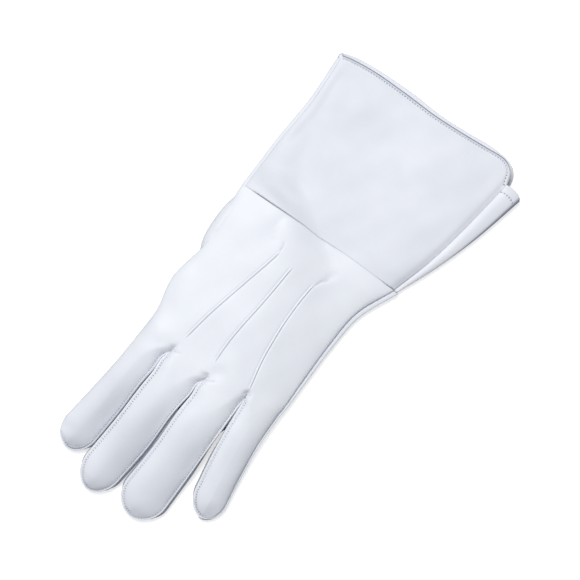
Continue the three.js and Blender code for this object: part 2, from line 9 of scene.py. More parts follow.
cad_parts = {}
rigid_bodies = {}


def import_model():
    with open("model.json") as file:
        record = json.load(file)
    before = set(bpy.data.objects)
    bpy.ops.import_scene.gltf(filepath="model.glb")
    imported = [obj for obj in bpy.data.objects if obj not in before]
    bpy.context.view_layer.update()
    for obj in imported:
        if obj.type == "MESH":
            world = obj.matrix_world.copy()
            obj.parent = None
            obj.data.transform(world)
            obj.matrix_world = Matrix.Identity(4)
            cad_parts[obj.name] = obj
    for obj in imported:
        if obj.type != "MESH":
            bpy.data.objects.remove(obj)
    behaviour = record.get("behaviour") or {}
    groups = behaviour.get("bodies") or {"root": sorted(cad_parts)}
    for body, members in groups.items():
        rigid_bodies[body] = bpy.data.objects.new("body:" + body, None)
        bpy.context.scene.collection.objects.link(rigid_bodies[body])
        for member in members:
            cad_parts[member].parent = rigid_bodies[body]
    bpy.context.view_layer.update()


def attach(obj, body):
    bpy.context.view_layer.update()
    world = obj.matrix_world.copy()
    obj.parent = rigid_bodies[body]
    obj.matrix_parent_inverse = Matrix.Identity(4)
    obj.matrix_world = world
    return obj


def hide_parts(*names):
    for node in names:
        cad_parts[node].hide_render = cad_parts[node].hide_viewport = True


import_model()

# The glove lies back up. Lengths are millimetres in the cutter's own plan, whose zero is the middle of the wrist
# seam, y to the fingertips and x to the thumb. `shift` takes the plan to the shared frame.
glove = dict(
    shift=(3.35, -50.5063, 0.0),
    gap=0.4,
    mid=5.4,  # where the back meets the palm
    crown=12.2,  # top of the hand and fingers
    fork=4.4,
    handRound=3.0,
    handRows=14,
    capRow=22,
    tipRow=26,
    liftFrom=(42.0, 34.0),  # the folded thumb raises the hand along this line
    liftTo=(0.0, 125.0),
    liftFlat=(27.0, 14.5),
    liftReach=(52.0, 82.0),  # the raised part ends this far from the line, on the cuff and on the hand
    lift=8.0,
)
handLines = [
    [(-55.6, -6.0), (-47.6, 20.5), (-48.0, 46.0), (-51.0, 75.5), (-53.2, 94.0), (-53.6, 101.5)],
    [(-18.0, -2.3), (-15.5, 25.5), (-17.0, 51.5), (-22.0, 78.5), (-27.5, 96.5), (-30.5, 105.4)],
    [(2.2, 1.0), (1.9, 27.0), (1.0, 53.0), (0.8, 80.5), (-1.2, 101.0), (-4.5, 114.3)],
    [(14.2, 1.7), (14.4, 26.0), (17.6, 53.0), (21.0, 81.5), (22.3, 103.0), (23.3, 115.0)],
    [(60.6, 8.3), (57.2, 27.0), (52.8, 52.0), (54.3, 80.0), (48.2, 101.0), (46.6, 113.5)],
]
fingers = [
    dict(  # little
        left=[(-53.6, 101.5), (-56.5, 124.0), (-61.8, 147.0), (-67.2, 166.5)],
        right=[(-30.5, 105.4), (-34.4, 127.0), (-39.6, 149.0), (-45.2, 168.5)],
        tip=(-59.5, 182.6),
    ),
    dict(  # ring
        left=[(-30.5, 105.4), (-34.0, 137.0), (-37.4, 166.0), (-40.3, 194.0)],
        right=[(-4.5, 114.3), (-4.9, 140.0), (-8.2, 167.5), (-9.6, 194.0)],
        tip=(-25.5, 211.8),
    ),
    dict(  # middle
        left=[(-4.5, 114.3), (-3.4, 142.0), (-6.2, 171.0), (-6.6, 199.0)],
        right=[(23.3, 115.0), (23.1, 142.0), (21.0, 171.0), (20.0, 199.0)],
        tip=(5.8, 217.2),
    ),
    dict(  # index
        left=[(23.3, 115.0), (24.4, 141.0), (22.4, 166.0), (21.3, 190.5)],
        right=[(46.6, 113.5), (45.2, 141.0), (45.2, 167.0), (45.7, 191.0)],
        tip=(32.5, 206.3),
    ),
]


# Shape helpers
def smooth(t):
    t = np.clip(t, 0.0, 1.0)
    return t * t * (3 - 2 * t)


def lerp(a, b, t):
    return a + (b - a) * t


# Height of a superellipse over its width, x from -1 to 1
def dome(x, power):
    return np.maximum(0.0, 1 - np.abs(x) ** power) ** (1 / power)


# Bell curve over v, 1 in its middle
def bell(v, width):
    return np.exp(-((v / width) ** 2))


# Each row made one long
def unit(rows):
    return rows / np.maximum(np.linalg.norm(rows, axis=-1), 1e-12)[..., None]


# Catmull-Rom curve through plan points, t from 0 to 1 with equal shares for the spans
def curveAt(points, t):
    p = np.asarray(points, float)
    p = np.vstack([2 * p[0] - p[1], p, 2 * p[-1] - p[-2]])
    t = np.asarray(t, float)
    spans = len(p) - 3
    span = np.clip(np.floor(t * spans), 0, spans - 1).astype(int)
    u = (t * spans - span)[..., None]
    a, b, c, d = p[span], p[span + 1], p[span + 2], p[span + 3]
    m, n = (c - a) / 2, (d - b) / 2
    return b + m * u + (3 * (c - b) - 2 * m - n) * u**2 + (2 * (b - c) + m + n) * u**3


def signedPower(v, power):
    return np.sign(v) * np.abs(v) ** power


def denseCurve(points, count):
    return curveAt(points, np.linspace(0, 1, count))


def lengthsAlong(path):
    return np.concatenate([[0], np.cumsum(np.linalg.norm(np.diff(path, axis=0), axis=1))])


batch = 4000  # points compared with a path at a time


# Distance of each plan point from a dense path, and the length along the path there
def nearestOn(path, plan):
    path = np.asarray(path, float)
    step = np.diff(path, axis=0)
    ahead = unit(np.vstack([step, step[-1:]]))
    flat = plan.reshape(-1, 2)
    near = np.empty(len(flat), int)
    for start in range(0, len(flat), batch):
        gap = flat[start : start + batch, None] - path[None]
        near[start : start + batch] = (gap[..., 0] ** 2 + gap[..., 1] ** 2).argmin(1)
    offset, ahead = flat - path[near], ahead[near]
    inside = (near > 0) & (near < len(path) - 1)
    side = np.abs(offset[:, 0] * ahead[:, 1] - offset[:, 1] * ahead[:, 0])
    distance = np.where(inside, side, np.linalg.norm(offset, axis=1))
    along = lengthsAlong(path)[near] + (offset * ahead).sum(1)
    return distance.reshape(plan.shape[:-1]), along.reshape(plan.shape[:-1])


# The local floor: flat, but raised by `lift` along the folded thumb and falling smoothly to nothing at liftReach,
# whose value passes from the cuff's to the hand's between y = -10 and y = 30
def floorAt(x, y):
    (ax, ay), (bx, by) = glove["liftFrom"], glove["liftTo"]
    dx, dy = bx - ax, by - ay
    along = np.clip(((x - ax) * dx + (y - ay) * dy) / (dx * dx + dy * dy), 0, 1)
    distance = np.hypot(x - ax - along * dx, y - ay - along * dy)
    flat = lerp(glove["liftFlat"][0], glove["liftFlat"][1], along)
    reach = lerp(glove["liftReach"][0], glove["liftReach"][1], smooth((y + 10) / 40))
    return glove["lift"] * (1 - smooth((distance - flat) / (reach - flat)))


# Soft dents and folds that the photograph shows on the back: x, y, length, width, turn in degrees, depth
dents = [
    (-7.8, 107.5, 6.0, 4.5, 60, 0.9),  # before the middle slit
    (-2.6, 113.0, 2.4, 1.6, 20, 0.7),
    (22.9, 112.5, 2.6, 1.6, 90, 0.6),
    (-30.2, 103.6, 2.4, 1.8, 90, 1.0),
    (-19.5, 16.0, 5.5, 2.4, 67, 0.55),  # hook at the head of the third point
    (28.0, 12.0, 9.0, 4.0, 100, 0.45),  # from the wrist seam to the first point
    (37.0, -3.5, 12.0, 4.2, 3, 1.9),  # beside the wrist seam, on the cuff
    (51.0, -56.0, 38.0, 9.0, 107, 1.7),  # long fold of the cuff
    (35.0, -24.0, 20.0, 9.0, 121, 1.1),
    (26.0, 172.0, 15.0, 5.0, 92, 0.9),
    (-1.0, 155.0, 14.0, 4.5, 95, 0.7),
    (-33.5, 160.0, 15.0, 4.5, 97, 0.6),
    (-48.0, 140.0, 16.0, 5.0, 104, 0.4),
    (33.0, 118.0, 14.0, 6.0, 20, 0.5),
    (4.0, 122.0, 12.0, 6.0, 160, 0.4),
]


# Small sharp creases: path, width, depth and darkness of their painted shade
creases = [
    ([(-20.8, 15.4), (-19.4, 18.2), (-17.8, 20.4), (-16.6, 24.6)], 0.75, 0.4, 0.5),
    ([(16.5, 18.4), (15.0, 20.4), (14.4, 23.4)], 0.8, 0.3, 0.4),
    ([(26.6, 4.6), (27.8, 9.5), (26.4, 16.0), (22.8, 21.0)], 2.2, 0.35, 0.12),
    ([(-9.4, 112.6), (-6.4, 114.6), (-4.6, 115.4)], 1.0, 0.22, 0.4),
    ([(18.6, 113.4), (21.6, 115.0), (23.6, 115.8)], 1.0, 0.2, 0.35),
]


# Each crease is a bell curve of the distance from its path, so it fades over its width past both ends
def creaseAt(x, y):
    plan = np.stack([x, y], -1)
    depth, dark = np.zeros_like(x), np.zeros_like(x)
    for path, width, deep, shade in creases:
        distance, _ = nearestOn(denseCurve(path, 30), plan)
        depth += deep * bell(distance, width)
        # painted shade along each crease
        dark = np.maximum(dark, shade * bell(distance, 0.55 * width))
    return depth, dark


# Long waves of the leather: length, turn in degrees, phase, height
waves = [(61, 20, 0.3, 0.22), (43, 75, 1.9, 0.2), (34, 130, 4.1, 0.14), (23, 50, 2.2, 0.08), (17, 160, 5.0, 0.05)]


# Sum of the dents, each a bell over a turned ellipse, and of the waves, which are sines
def softness(x, y):
    z = np.zeros_like(x)
    for cx, cy, long, wide, turn, depth in dents:
        c, s = math.cos(math.radians(turn)), math.sin(math.radians(turn))
        a, b = (x - cx) * c + (y - cy) * s, -(x - cx) * s + (y - cy) * c
        z -= depth * np.exp(-((a / long) ** 2) - (b / wide) ** 2)
    for length, turn, phase, size in waves:
        c, s = math.cos(math.radians(turn)), math.sin(math.radians(turn))
        z += size * np.sin(2 * math.pi * (x * c + y * s) / length + phase)
    return z


# Mesh helpers
def toFrame(points):
    return (np.asarray(points, float).reshape(-1, 3) + np.array(glove["shift"])) / 1000


def gridQuads(rows, columns):
    index = np.arange(rows * columns).reshape(rows, columns)
    return np.stack([index[:-1, :-1], index[:-1, 1:], index[1:, 1:], index[1:, :-1]], -1).reshape(-1, 4)


# Finds points that are equal once rounded to a share of a millimetre: which of them to keep, and the quads between
# them. A quad that folds to a triangle stays a triangle, and one that vanishes is dropped.
def weldPoints(points, quads, share):
    rounded = np.round(points * share).astype(np.int64)
    _, first, back = np.unique(rounded, axis=0, return_index=True, return_inverse=True)
    quads = back.reshape(-1)[quads]
    same = quads == np.roll(quads, -1, axis=1)
    repeats = same.sum(1)
    at = same[repeats == 1].argmax(1)
    triangles = np.take_along_axis(quads[repeats == 1], (at[:, None] + np.array([1, 2, 3])) % 4, 1)
    return first, quads[repeats == 0], triangles


# Welds several grids into one sheet. Faces look towards you where rows run up and columns to the right.
def weld(grids):
    points, extras, quads, start = [], [], [], 0
    for grid, extra, turned in grids:
        rows, columns = grid.shape[:2]
        q = start + gridQuads(rows, columns)
        quads.append(q[:, ::-1] if turned else q)
        points.append(grid.reshape(-1, 3))
        extras.append(np.broadcast_to(extra, grid.shape[:2] + (4,)).reshape(-1, 4))
        start += rows * columns
    points, extras = np.vstack(points), np.vstack(extras)
    first, whole, triangles = weldPoints(points, np.vstack(quads), 100)
    return points[first], extras[first], whole, triangles


# Sum of face normals at each point, made one long
def normalsOf(points, quads, triangles):
    sums = np.zeros_like(points)
    for faces in (quads[:, [0, 1, 2]], quads[:, [0, 2, 3]], triangles):
        if len(faces):
            a, b, c = points[faces[:, 0]], points[faces[:, 1]], points[faces[:, 2]]
            n = np.cross(b - a, c - a)
            for corner in range(3):
                np.add.at(sums, faces[:, corner], n)
    return unit(sums)


unstitched = 99.0  # distance given where no stitched edge is meant
plain = np.array([unstitched, 0, 0, 0])


# A leather wall: the welded outer sheet, the same sheet moved in along its normals, and a rim round its open edges
def wallMesh(name, grids, depth):
    points, extras, quads, triangles = weld(grids)
    inner = points - depth * normalsOf(points, quads, triangles)
    count = len(points)
    pairs = [np.stack([faces, np.roll(faces, -1, axis=1)], -1).swapaxes(0, 1) for faces in (quads, triangles)]
    edges = np.vstack([pair.reshape(-1, 2) for pair in pairs])
    keys = edges[:, 0] * count + edges[:, 1]
    openEdges = edges[~np.isin(keys, edges[:, 1] * count + edges[:, 0])]
    a, b = openEdges[:, 0], openEdges[:, 1]
    rim = np.stack([b, a, a + count, b + count], 1)
    allQuads = np.vstack([quads, quads[:, ::-1] + count, rim])
    allTriangles = np.vstack([triangles, triangles[:, ::-1] + count])
    innerExtras = extras.copy()
    innerExtras[:, 0] = unstitched
    flat = np.zeros(len(allQuads) + len(allTriangles), bool)
    flat[2 * len(quads) : 2 * len(quads) + len(rim)] = True  # a cut edge is crisp
    allPoints, allExtras = np.vstack([points, inner]), np.vstack([extras, innerExtras])
    return plainMesh(name, allPoints, allQuads, allTriangles, allExtras, flat)


# What the leather needs to know at each point: distance from a stitched edge, length along it, and two amounts of
# painted shade, one in creases and seams and one over broad parts of the fingers and cuff
def setExtras(mesh, extras):
    seam = mesh.attributes.new("seam", "FLOAT_VECTOR", "POINT")
    seam.data.foreach_set("vector", np.ascontiguousarray(extras[:, :3], np.float32).ravel())
    tone = mesh.attributes.new("tone", "FLOAT", "POINT")
    tone.data.foreach_set("value", np.ascontiguousarray(extras[:, 3], np.float32))


def plainMesh(name, points, quads, triangles, extras=None, flat=None):
    mesh = bpy.data.meshes.new(name)
    loops = np.concatenate([quads.ravel(), triangles.ravel()]).astype(np.int32)
    totals = np.concatenate([np.full(len(quads), 4), np.full(len(triangles), 3)]).astype(np.int32)
    starts = (np.cumsum(totals) - totals).astype(np.int32)
    mesh.vertices.add(len(points))
    mesh.vertices.foreach_set("co", toFrame(points).astype(np.float32).ravel())
    mesh.loops.add(len(loops))
    mesh.loops.foreach_set("vertex_index", loops)
    mesh.polygons.add(len(totals))
    mesh.polygons.foreach_set("loop_start", starts)
    mesh.polygons.foreach_set("loop_total", totals)
    mesh.polygons.foreach_set("use_smooth", np.ones(len(totals), bool) if flat is None else ~flat)
    if extras is not None:
        setExtras(mesh, extras)
    mesh.update(calc_edges=True)
    mesh.validate()
    return mesh


def addObject(name, data):
    made = bpy.data.objects.new(name, data)
    bpy.context.scene.collection.objects.link(made)
    return made


# Makes the mesh an object of the scene that rides on the glove's one body
def addPiece(mesh, material, *nodes):
    piece = addObject(mesh.name, mesh)
    mesh.materials.append(material)
    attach(piece, "root")
    if nodes:
        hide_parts(*nodes)
    print("made", mesh.name, len(mesh.polygons))
    return piece


# Materials
def nodeGroup(name, inputs, outputs):
    group = bpy.data.node_groups.new(name, "ShaderNodeTree")
    for way, sockets in (("INPUT", inputs), ("OUTPUT", outputs)):
        for label, kind in sockets.items():
            group.interface.new_socket(label, in_out=way, socket_type="NodeSocket" + kind)
    return group, group.nodes.new("NodeGroupInput").outputs, group.nodes.new("NodeGroupOutput").inputs


# Fills a node's inputs, each with a constant or from the socket that feeds it
def feed(tree, node, inputs):
    for label, value in inputs.items():
        if isinstance(value, bpy.types.NodeSocket):
            tree.links.new(value, node.inputs[label])
        else:
            node.inputs[label].default_value = value
    return node


def addNode(tree, kind, inputs, **settings):
    node = tree.nodes.new("ShaderNode" + kind)
    for name, value in settings.items():
        setattr(node, name, value)
    return feed(tree, node, inputs)


def addMath(tree, operation, *values, clamp=False):
    return addNode(tree, "Math", dict(enumerate(values)), operation=operation, use_clamp=clamp).outputs[0]


def mixColours(tree, share, low, high):
    return addNode(tree, "Mix", {"Factor": share, 6: low, 7: high}, data_type="RGBA").outputs[2]


def useGroup(tree, group, **inputs):
    return addNode(tree, "Group", inputs, node_tree=group).outputs


def newMaterial(name):
    material = bpy.data.materials.new(name)
    material.use_nodes = True
    return material, material.node_tree, material.node_tree.nodes["Principled BSDF"]


grainShape = dict(
    warp=(260, 2),  # scale per metre and detail of each noise
    pores=(2600, 3),
    mottle=(45, 4),
    pull=0.0016,
    smoothness=0.35,
    cellHeight=-0.8,
    poreHeight=0.35,
)


# Fine hair-cell grain: small cells pulled apart by a slow noise, with shallow pores
def makeGrainGroup():
    group, given, made = nodeGroup(
        "leatherGrain", dict(Position="Vector", Cells="Float"), dict(Height="Float", Mottle="Float")
    )

    def noise(name):
        scale, detail = grainShape[name]
        inputs = {"Vector": given["Position"], "Scale": scale, "Detail": detail}
        return addNode(group, "TexNoise", inputs).outputs

    pull = {0: noise("warp")["Color"], 1: (grainShape["pull"],) * 3, 2: given["Position"]}
    bent = addNode(group, "VectorMath", pull, operation="MULTIPLY_ADD").outputs[0]
    inputs = {"Vector": bent, "Scale": given["Cells"], "Smoothness": grainShape["smoothness"]}
    cells = addNode(group, "TexVoronoi", inputs, feature="SMOOTH_F1").outputs["Distance"]
    heights = [addMath(group, "MULTIPLY", cells, grainShape["cellHeight"])]
    heights.append(addMath(group, "MULTIPLY", noise("pores")[0], grainShape["poreHeight"]))
    group.links.new(addMath(group, "ADD", *heights), made["Height"])
    group.links.new(noise("mottle")[0], made["Mottle"])
    return group


# Needle holes along an edge: a dot every `Pitch` mm at `Inset` mm from the edge, and the shallow channel they lie in
needleHole = dict(radius=0.46, channel=0.6, edge=0.6)


def makeStitchGroup():
    group, given, made = nodeGroup(
        "needleHoles", dict(Seam="Vector", Inset="Float", Pitch="Float"), dict(Holes="Float", Channel="Float")
    )
    seam = addNode(group, "SeparateXYZ", {0: given["Seam"]}).outputs
    across = addMath(group, "SUBTRACT", seam["X"], given["Inset"])
    turn = addMath(group, "FRACT", addMath(group, "DIVIDE", seam["Y"], given["Pitch"]))
    along = addMath(group, "MULTIPLY", addMath(group, "SUBTRACT", turn, 0.5), given["Pitch"])
    squares = [addMath(group, "MULTIPLY", side, side) for side in (across, along)]
    away = addMath(group, "SQRT", addMath(group, "ADD", *squares))
    holes = addMath(group, "DIVIDE", away, needleHole["radius"])
    holes = addMath(group, "SUBTRACT", 1.0, holes, clamp=True)
    channel = addMath(group, "DIVIDE", addMath(group, "ABSOLUTE", across), needleHole["channel"])
    group.links.new(addMath(group, "POWER", holes, needleHole["edge"]), made["Holes"])
    group.links.new(addMath(group, "SUBTRACT", 1.0, channel, clamp=True), made["Channel"])
    return group


toneShare = dict(mottleFrom=0.27, mottle=0.145, crease=0.55, holes=1.15)


# White leather whose colour falls a little towards blue grey: painted shade in creases, seams and needle holes and over
# the fingers and cuff, and slow random mottling
def makeToneGroup():
    group, given, made = nodeGroup(
        "leatherTone",
        dict(White="Color", Shade="Color", Mottle="Float", Crease="Float", Holes="Float", Wear="Float"),
        dict(Color="Color"),
    )
    mottle = addMath(group, "SUBTRACT", given["Mottle"], toneShare["mottleFrom"])
    mottle = addMath(group, "MULTIPLY", mottle, toneShare["mottle"], clamp=True)
    crease = addMath(group, "MULTIPLY", given["Crease"], toneShare["crease"])
    # the needle holes darken the colour as painted shade
    holes = addMath(group, "MULTIPLY", given["Holes"], toneShare["holes"])
    broad = addMath(group, "ADD", addMath(group, "ADD", mottle, given["Wear"]), crease)
    amount = addMath(group, "ADD", broad, holes, clamp=True)
    group.links.new(mixColours(group, amount, given["White"], given["Shade"]), made["Color"])
    return group


grainGroup, stitchGroup, toneGroup = makeGrainGroup(), makeStitchGroup(), makeToneGroup()


# Dressed white leather. `look` gives the colours, cell density per metre, grain depth and the stitch row.
def leatherMaterial(name, look):
    material, tree, shader = newMaterial(name)
    place = addNode(tree, "TexCoord", {}).outputs["Object"]
    seam = addNode(tree, "Attribute", {}, attribute_name="seam").outputs["Vector"]
    paintedShade = addNode(tree, "Attribute", {}, attribute_name="tone").outputs["Fac"]
    crease = addNode(tree, "SeparateXYZ", {0: seam}).outputs["Z"]
    grain = useGroup(tree, grainGroup, Position=place, Cells=look["cells"])
    holes = useGroup(tree, stitchGroup, Seam=seam, Inset=look["inset"], Pitch=look["pitch"])
    tone = useGroup(
        tree,
        toneGroup,
        White=look["white"],
        Shade=look["shade"],
        Mottle=grain["Mottle"],
        Crease=crease,
        Holes=holes["Holes"],
        Wear=paintedShade,
    )
    relief = {"Strength": look["grain"], "Distance": 0.0001, "Height": grain["Height"]}
    bump = addNode(tree, "Bump", relief).outputs["Normal"]
    drop = addMath(tree, "ADD", holes["Holes"], addMath(tree, "MULTIPLY", holes["Channel"], 0.5))
    sink = {"Strength": 0.7, "Distance": 0.0003, "Height": drop, "Normal": bump}
    inputs = {
        "Base Color": tone["Color"],
        "Roughness": addMath(tree, "MULTIPLY_ADD", grain["Mottle"], 0.12, look["rough"]),
        "Normal": addNode(tree, "Bump", sink, invert=True).outputs["Normal"],
        "Specular IOR Level": 0.35,
        "Sheen Weight": 0.12,
        "Sheen Roughness": 0.5,
    }
    feed(tree, shader, inputs)
    return material


leatherLook = dict(
    white=(0.725, 0.745, 0.8, 1),
    shade=(0.2, 0.22, 0.3, 1),
    cells=1500.0,
    grain=0.22,
    rough=0.46,
    inset=2.05,
    pitch=1.9,
)
cuffStitch = dict(inset=2.0, pitch=2.0)
unpierced = -9.0  # an inset that no point has
handLeather = leatherMaterial("handLeather", leatherLook)
cuffLeather = leatherMaterial("cuffLeather", dict(leatherLook, **cuffStitch))
# The forks are the same white leather; their dark colour is painted shade for the shadowed gaps between the fingers
forkLeather = leatherMaterial("forkLeather", dict(leatherLook, inset=unpierced, white=(0.36, 0.38, 0.44, 1)))
edgeLook = dict(leatherLook, inset=unpierced, white=(0.8, 0.815, 0.85, 1), cells=2600.0)
seamLeather = leatherMaterial("seamEdgeLeather", edgeLook)


# Twisted white thread: fine slanting ridges over the stitch
def threadMaterial():
    material, tree, shader = newMaterial("whiteThread")
    inputs = {"Vector": addNode(tree, "TexCoord", {}).outputs["Object"], "Scale": 1800, "Distortion": 1.5}
    twist = addNode(tree, "TexWave", inputs, wave_type="BANDS", bands_direction="DIAGONAL").outputs["Fac"]
    bump = addNode(tree, "Bump", {"Strength": 0.4, "Distance": 0.0001, "Height": twist})
    colour = mixColours(tree, twist, (0.72, 0.74, 0.8, 1), (0.93, 0.94, 0.96, 1))
    feed(tree, shader, {"Base Color": colour, "Normal": bump.outputs["Normal"], "Roughness": 0.6})
    return material


thread = threadMaterial()
print("materials ready")


# Hand and fingers
hooks = {2: (1.5, 121.0, 5.2), 3: (1.6, 123.5, 6.5)}  # slits 2 and 3 bow to the thumb: how far, at which y, how long


# Adds to x of the line's points a bell curve in y
def hooked(line, points):
    size, at, long = hooks.get(line, (0.0, 0.0, 1.0))
    return points + np.stack([size * bell(points[:, 1] - at, long), 0 * points[:, 0]], 1)


# Plan edges of a finger at rows from 14 to 26. The last four rows close the tip as a quarter of an ellipse, and
# cap is 1 along the finger and 0 at the tip.
def fingerEdges(k, row):
    finger = fingers[k]
    straight = np.clip((row - glove["handRows"]) / (glove["capRow"] - glove["handRows"]), 0, 1)
    left, right = hooked(k, curveAt(finger["left"], straight)), hooked(k + 1, curveAt(finger["right"], straight))
    turn = np.clip((row - glove["capRow"]) / (glove["tipRow"] - glove["capRow"]), 0, 1) * math.pi / 2
    root = (left + right) / 2
    centre = root + (np.array(finger["tip"]) - root) * np.sin(turn)[:, None]
    half = (left - root) * np.cos(turn)[:, None]
    return centre + half, centre - half, np.cos(turn)


# Plan edges of strip k at any row: lines of the hand up to row 14, then the finger's own edges. Between row 14 and
# slitRow the edge is shared with the neighbour, and over the next row it moves to the finger's own.
def stripEdges(k, row, slitRow):
    hand = np.clip(row / glove["handRows"], 0, 1)
    own = fingerEdges(k, row)
    leave = smooth(row - slitRow)[:, None]
    left, right = own[0], own[1]
    if k > 0:
        left = lerp((left + fingerEdges(k - 1, row)[1]) / 2, left, leave)
    if k < 3:
        right = lerp((right + fingerEdges(k + 1, row)[0]) / 2, right, leave)
    onHand = (row <= glove["handRows"])[:, None]
    left = np.where(onHand, hooked(k, curveAt(handLines[k], hand)), left)
    right = np.where(onHand, hooked(k + 1, curveAt(handLines[k + 1], hand)), right)
    return left, right, own[2]


# The edge of finger k that is sewn to a fork, from the slit at its left round the tip to the slit at its right. The
# little finger's left and the index finger's right have no fork, so there it starts or ends near the tip.
def sewnEdge(k, slitRow, count=170):
    row = slitRow + (glove["tipRow"] - slitRow) * np.linspace(0, 1, count) ** 0.8
    left, right, _ = stripEdges(k, row, slitRow)
    left = left[row > handShape["lastRow"][0]] if k == 0 else left
    right = right[row > handShape["lastRow"][3]] if k == 3 else right
    return np.vstack([left, right[-2::-1]])


# Height of a finger's seam above or below the middle: half of the fork, which runs out before the tip, where the two
# sheets lie on each other
def seamHeight(cap):
    half = glove["gap"] / 2 + glove["fork"] / 2 * np.maximum(0, np.cos(1.5 * np.arccos(np.clip(cap, 0, 1))))
    return np.maximum(half, handShape["wall"] + 0.06)


# Rise of a rounded side by distance from its foot, as a share of the full height
def sideRise(distance, reach, power=2.15):
    return dome(1 - np.clip(distance / reach, 0, 1), power)


# How far the leather dips beside the wrist seam: more at its two ends than in the middle
def wristDip(x):
    return 0.5 + 1.0 * smooth((np.abs(x - 2) - 32) / 24)


# The wrist seam is pressed hard in some places and almost flat in others: its strength by x
seamAt = [-58, -50, -45, -38, -16, -9, 6, 14, 28, 48, 53, 60]
seamPress = [0.95, 0.85, 0.3, 0.14, 0.14, 0.32, 0.38, 0.55, 1, 1, 0.25, 0.12]


def wristSeam(x):
    return np.interp(x, seamAt, seamPress)


handShape = dict(
    wall=1.0,
    edges=[0, 0.22, 0.42, 0.62, 0.85, 1.1, 1.45, 2.0, 2.9, 4.3],  # distances of the columns from the points' lines
    fingerEdges=[0, 0.25, 0.6, 0.95, 1.15, 1.4, 1.8, 2.3, 3.2, 4.8],
    rowLength=9.4,
    allowance=1.1,  # raw edge outside the finger seams
    lipLeft=0.6,  # its outer rim stands up on the little finger's side of each finger
    lipRight=0.05,
    reach=12.2,
    crotchReach=4.2,
    lastRow={0: 24.2, 3: 23.2},  # the hand's own two outer sides run up to here, and are round over sideReach
    sideReach=12.5,
    flange=[(0, 3.4), (2, 3.4), (6, 2.7), (12, 1.7), (26, 1.2)],  # reach of the outer seam's strip by row
    points={3: (2.6, 11.5), 2: (2.7, 11.7), 1: (2.7, 12.5)},  # first and last row of the stitched points
    pointHeight=0.19,
    pointWidth=0.36,
    pointSide=0.26,
    paintedShade=(0.09, 0.16, 0.22, 0.25),  # painted shade on each finger, stronger towards the tip and on its side turned from the light
)


slitRows = {1: glove["handRows"], -1: glove["handRows"] + 2}  # the palm's slits start two rows nearer the tips


# The back's groove at the wrist seam, by distance from it and strength: how deep, and how dark its painted shade is
def wristGroove(fromWrist, pressed):
    deep = 0.85 * pressed * np.maximum(0, 1 - fromWrist / 1.1) ** 2
    return deep, 0.9 * pressed * np.maximum(0, 1 - fromWrist / 0.7)


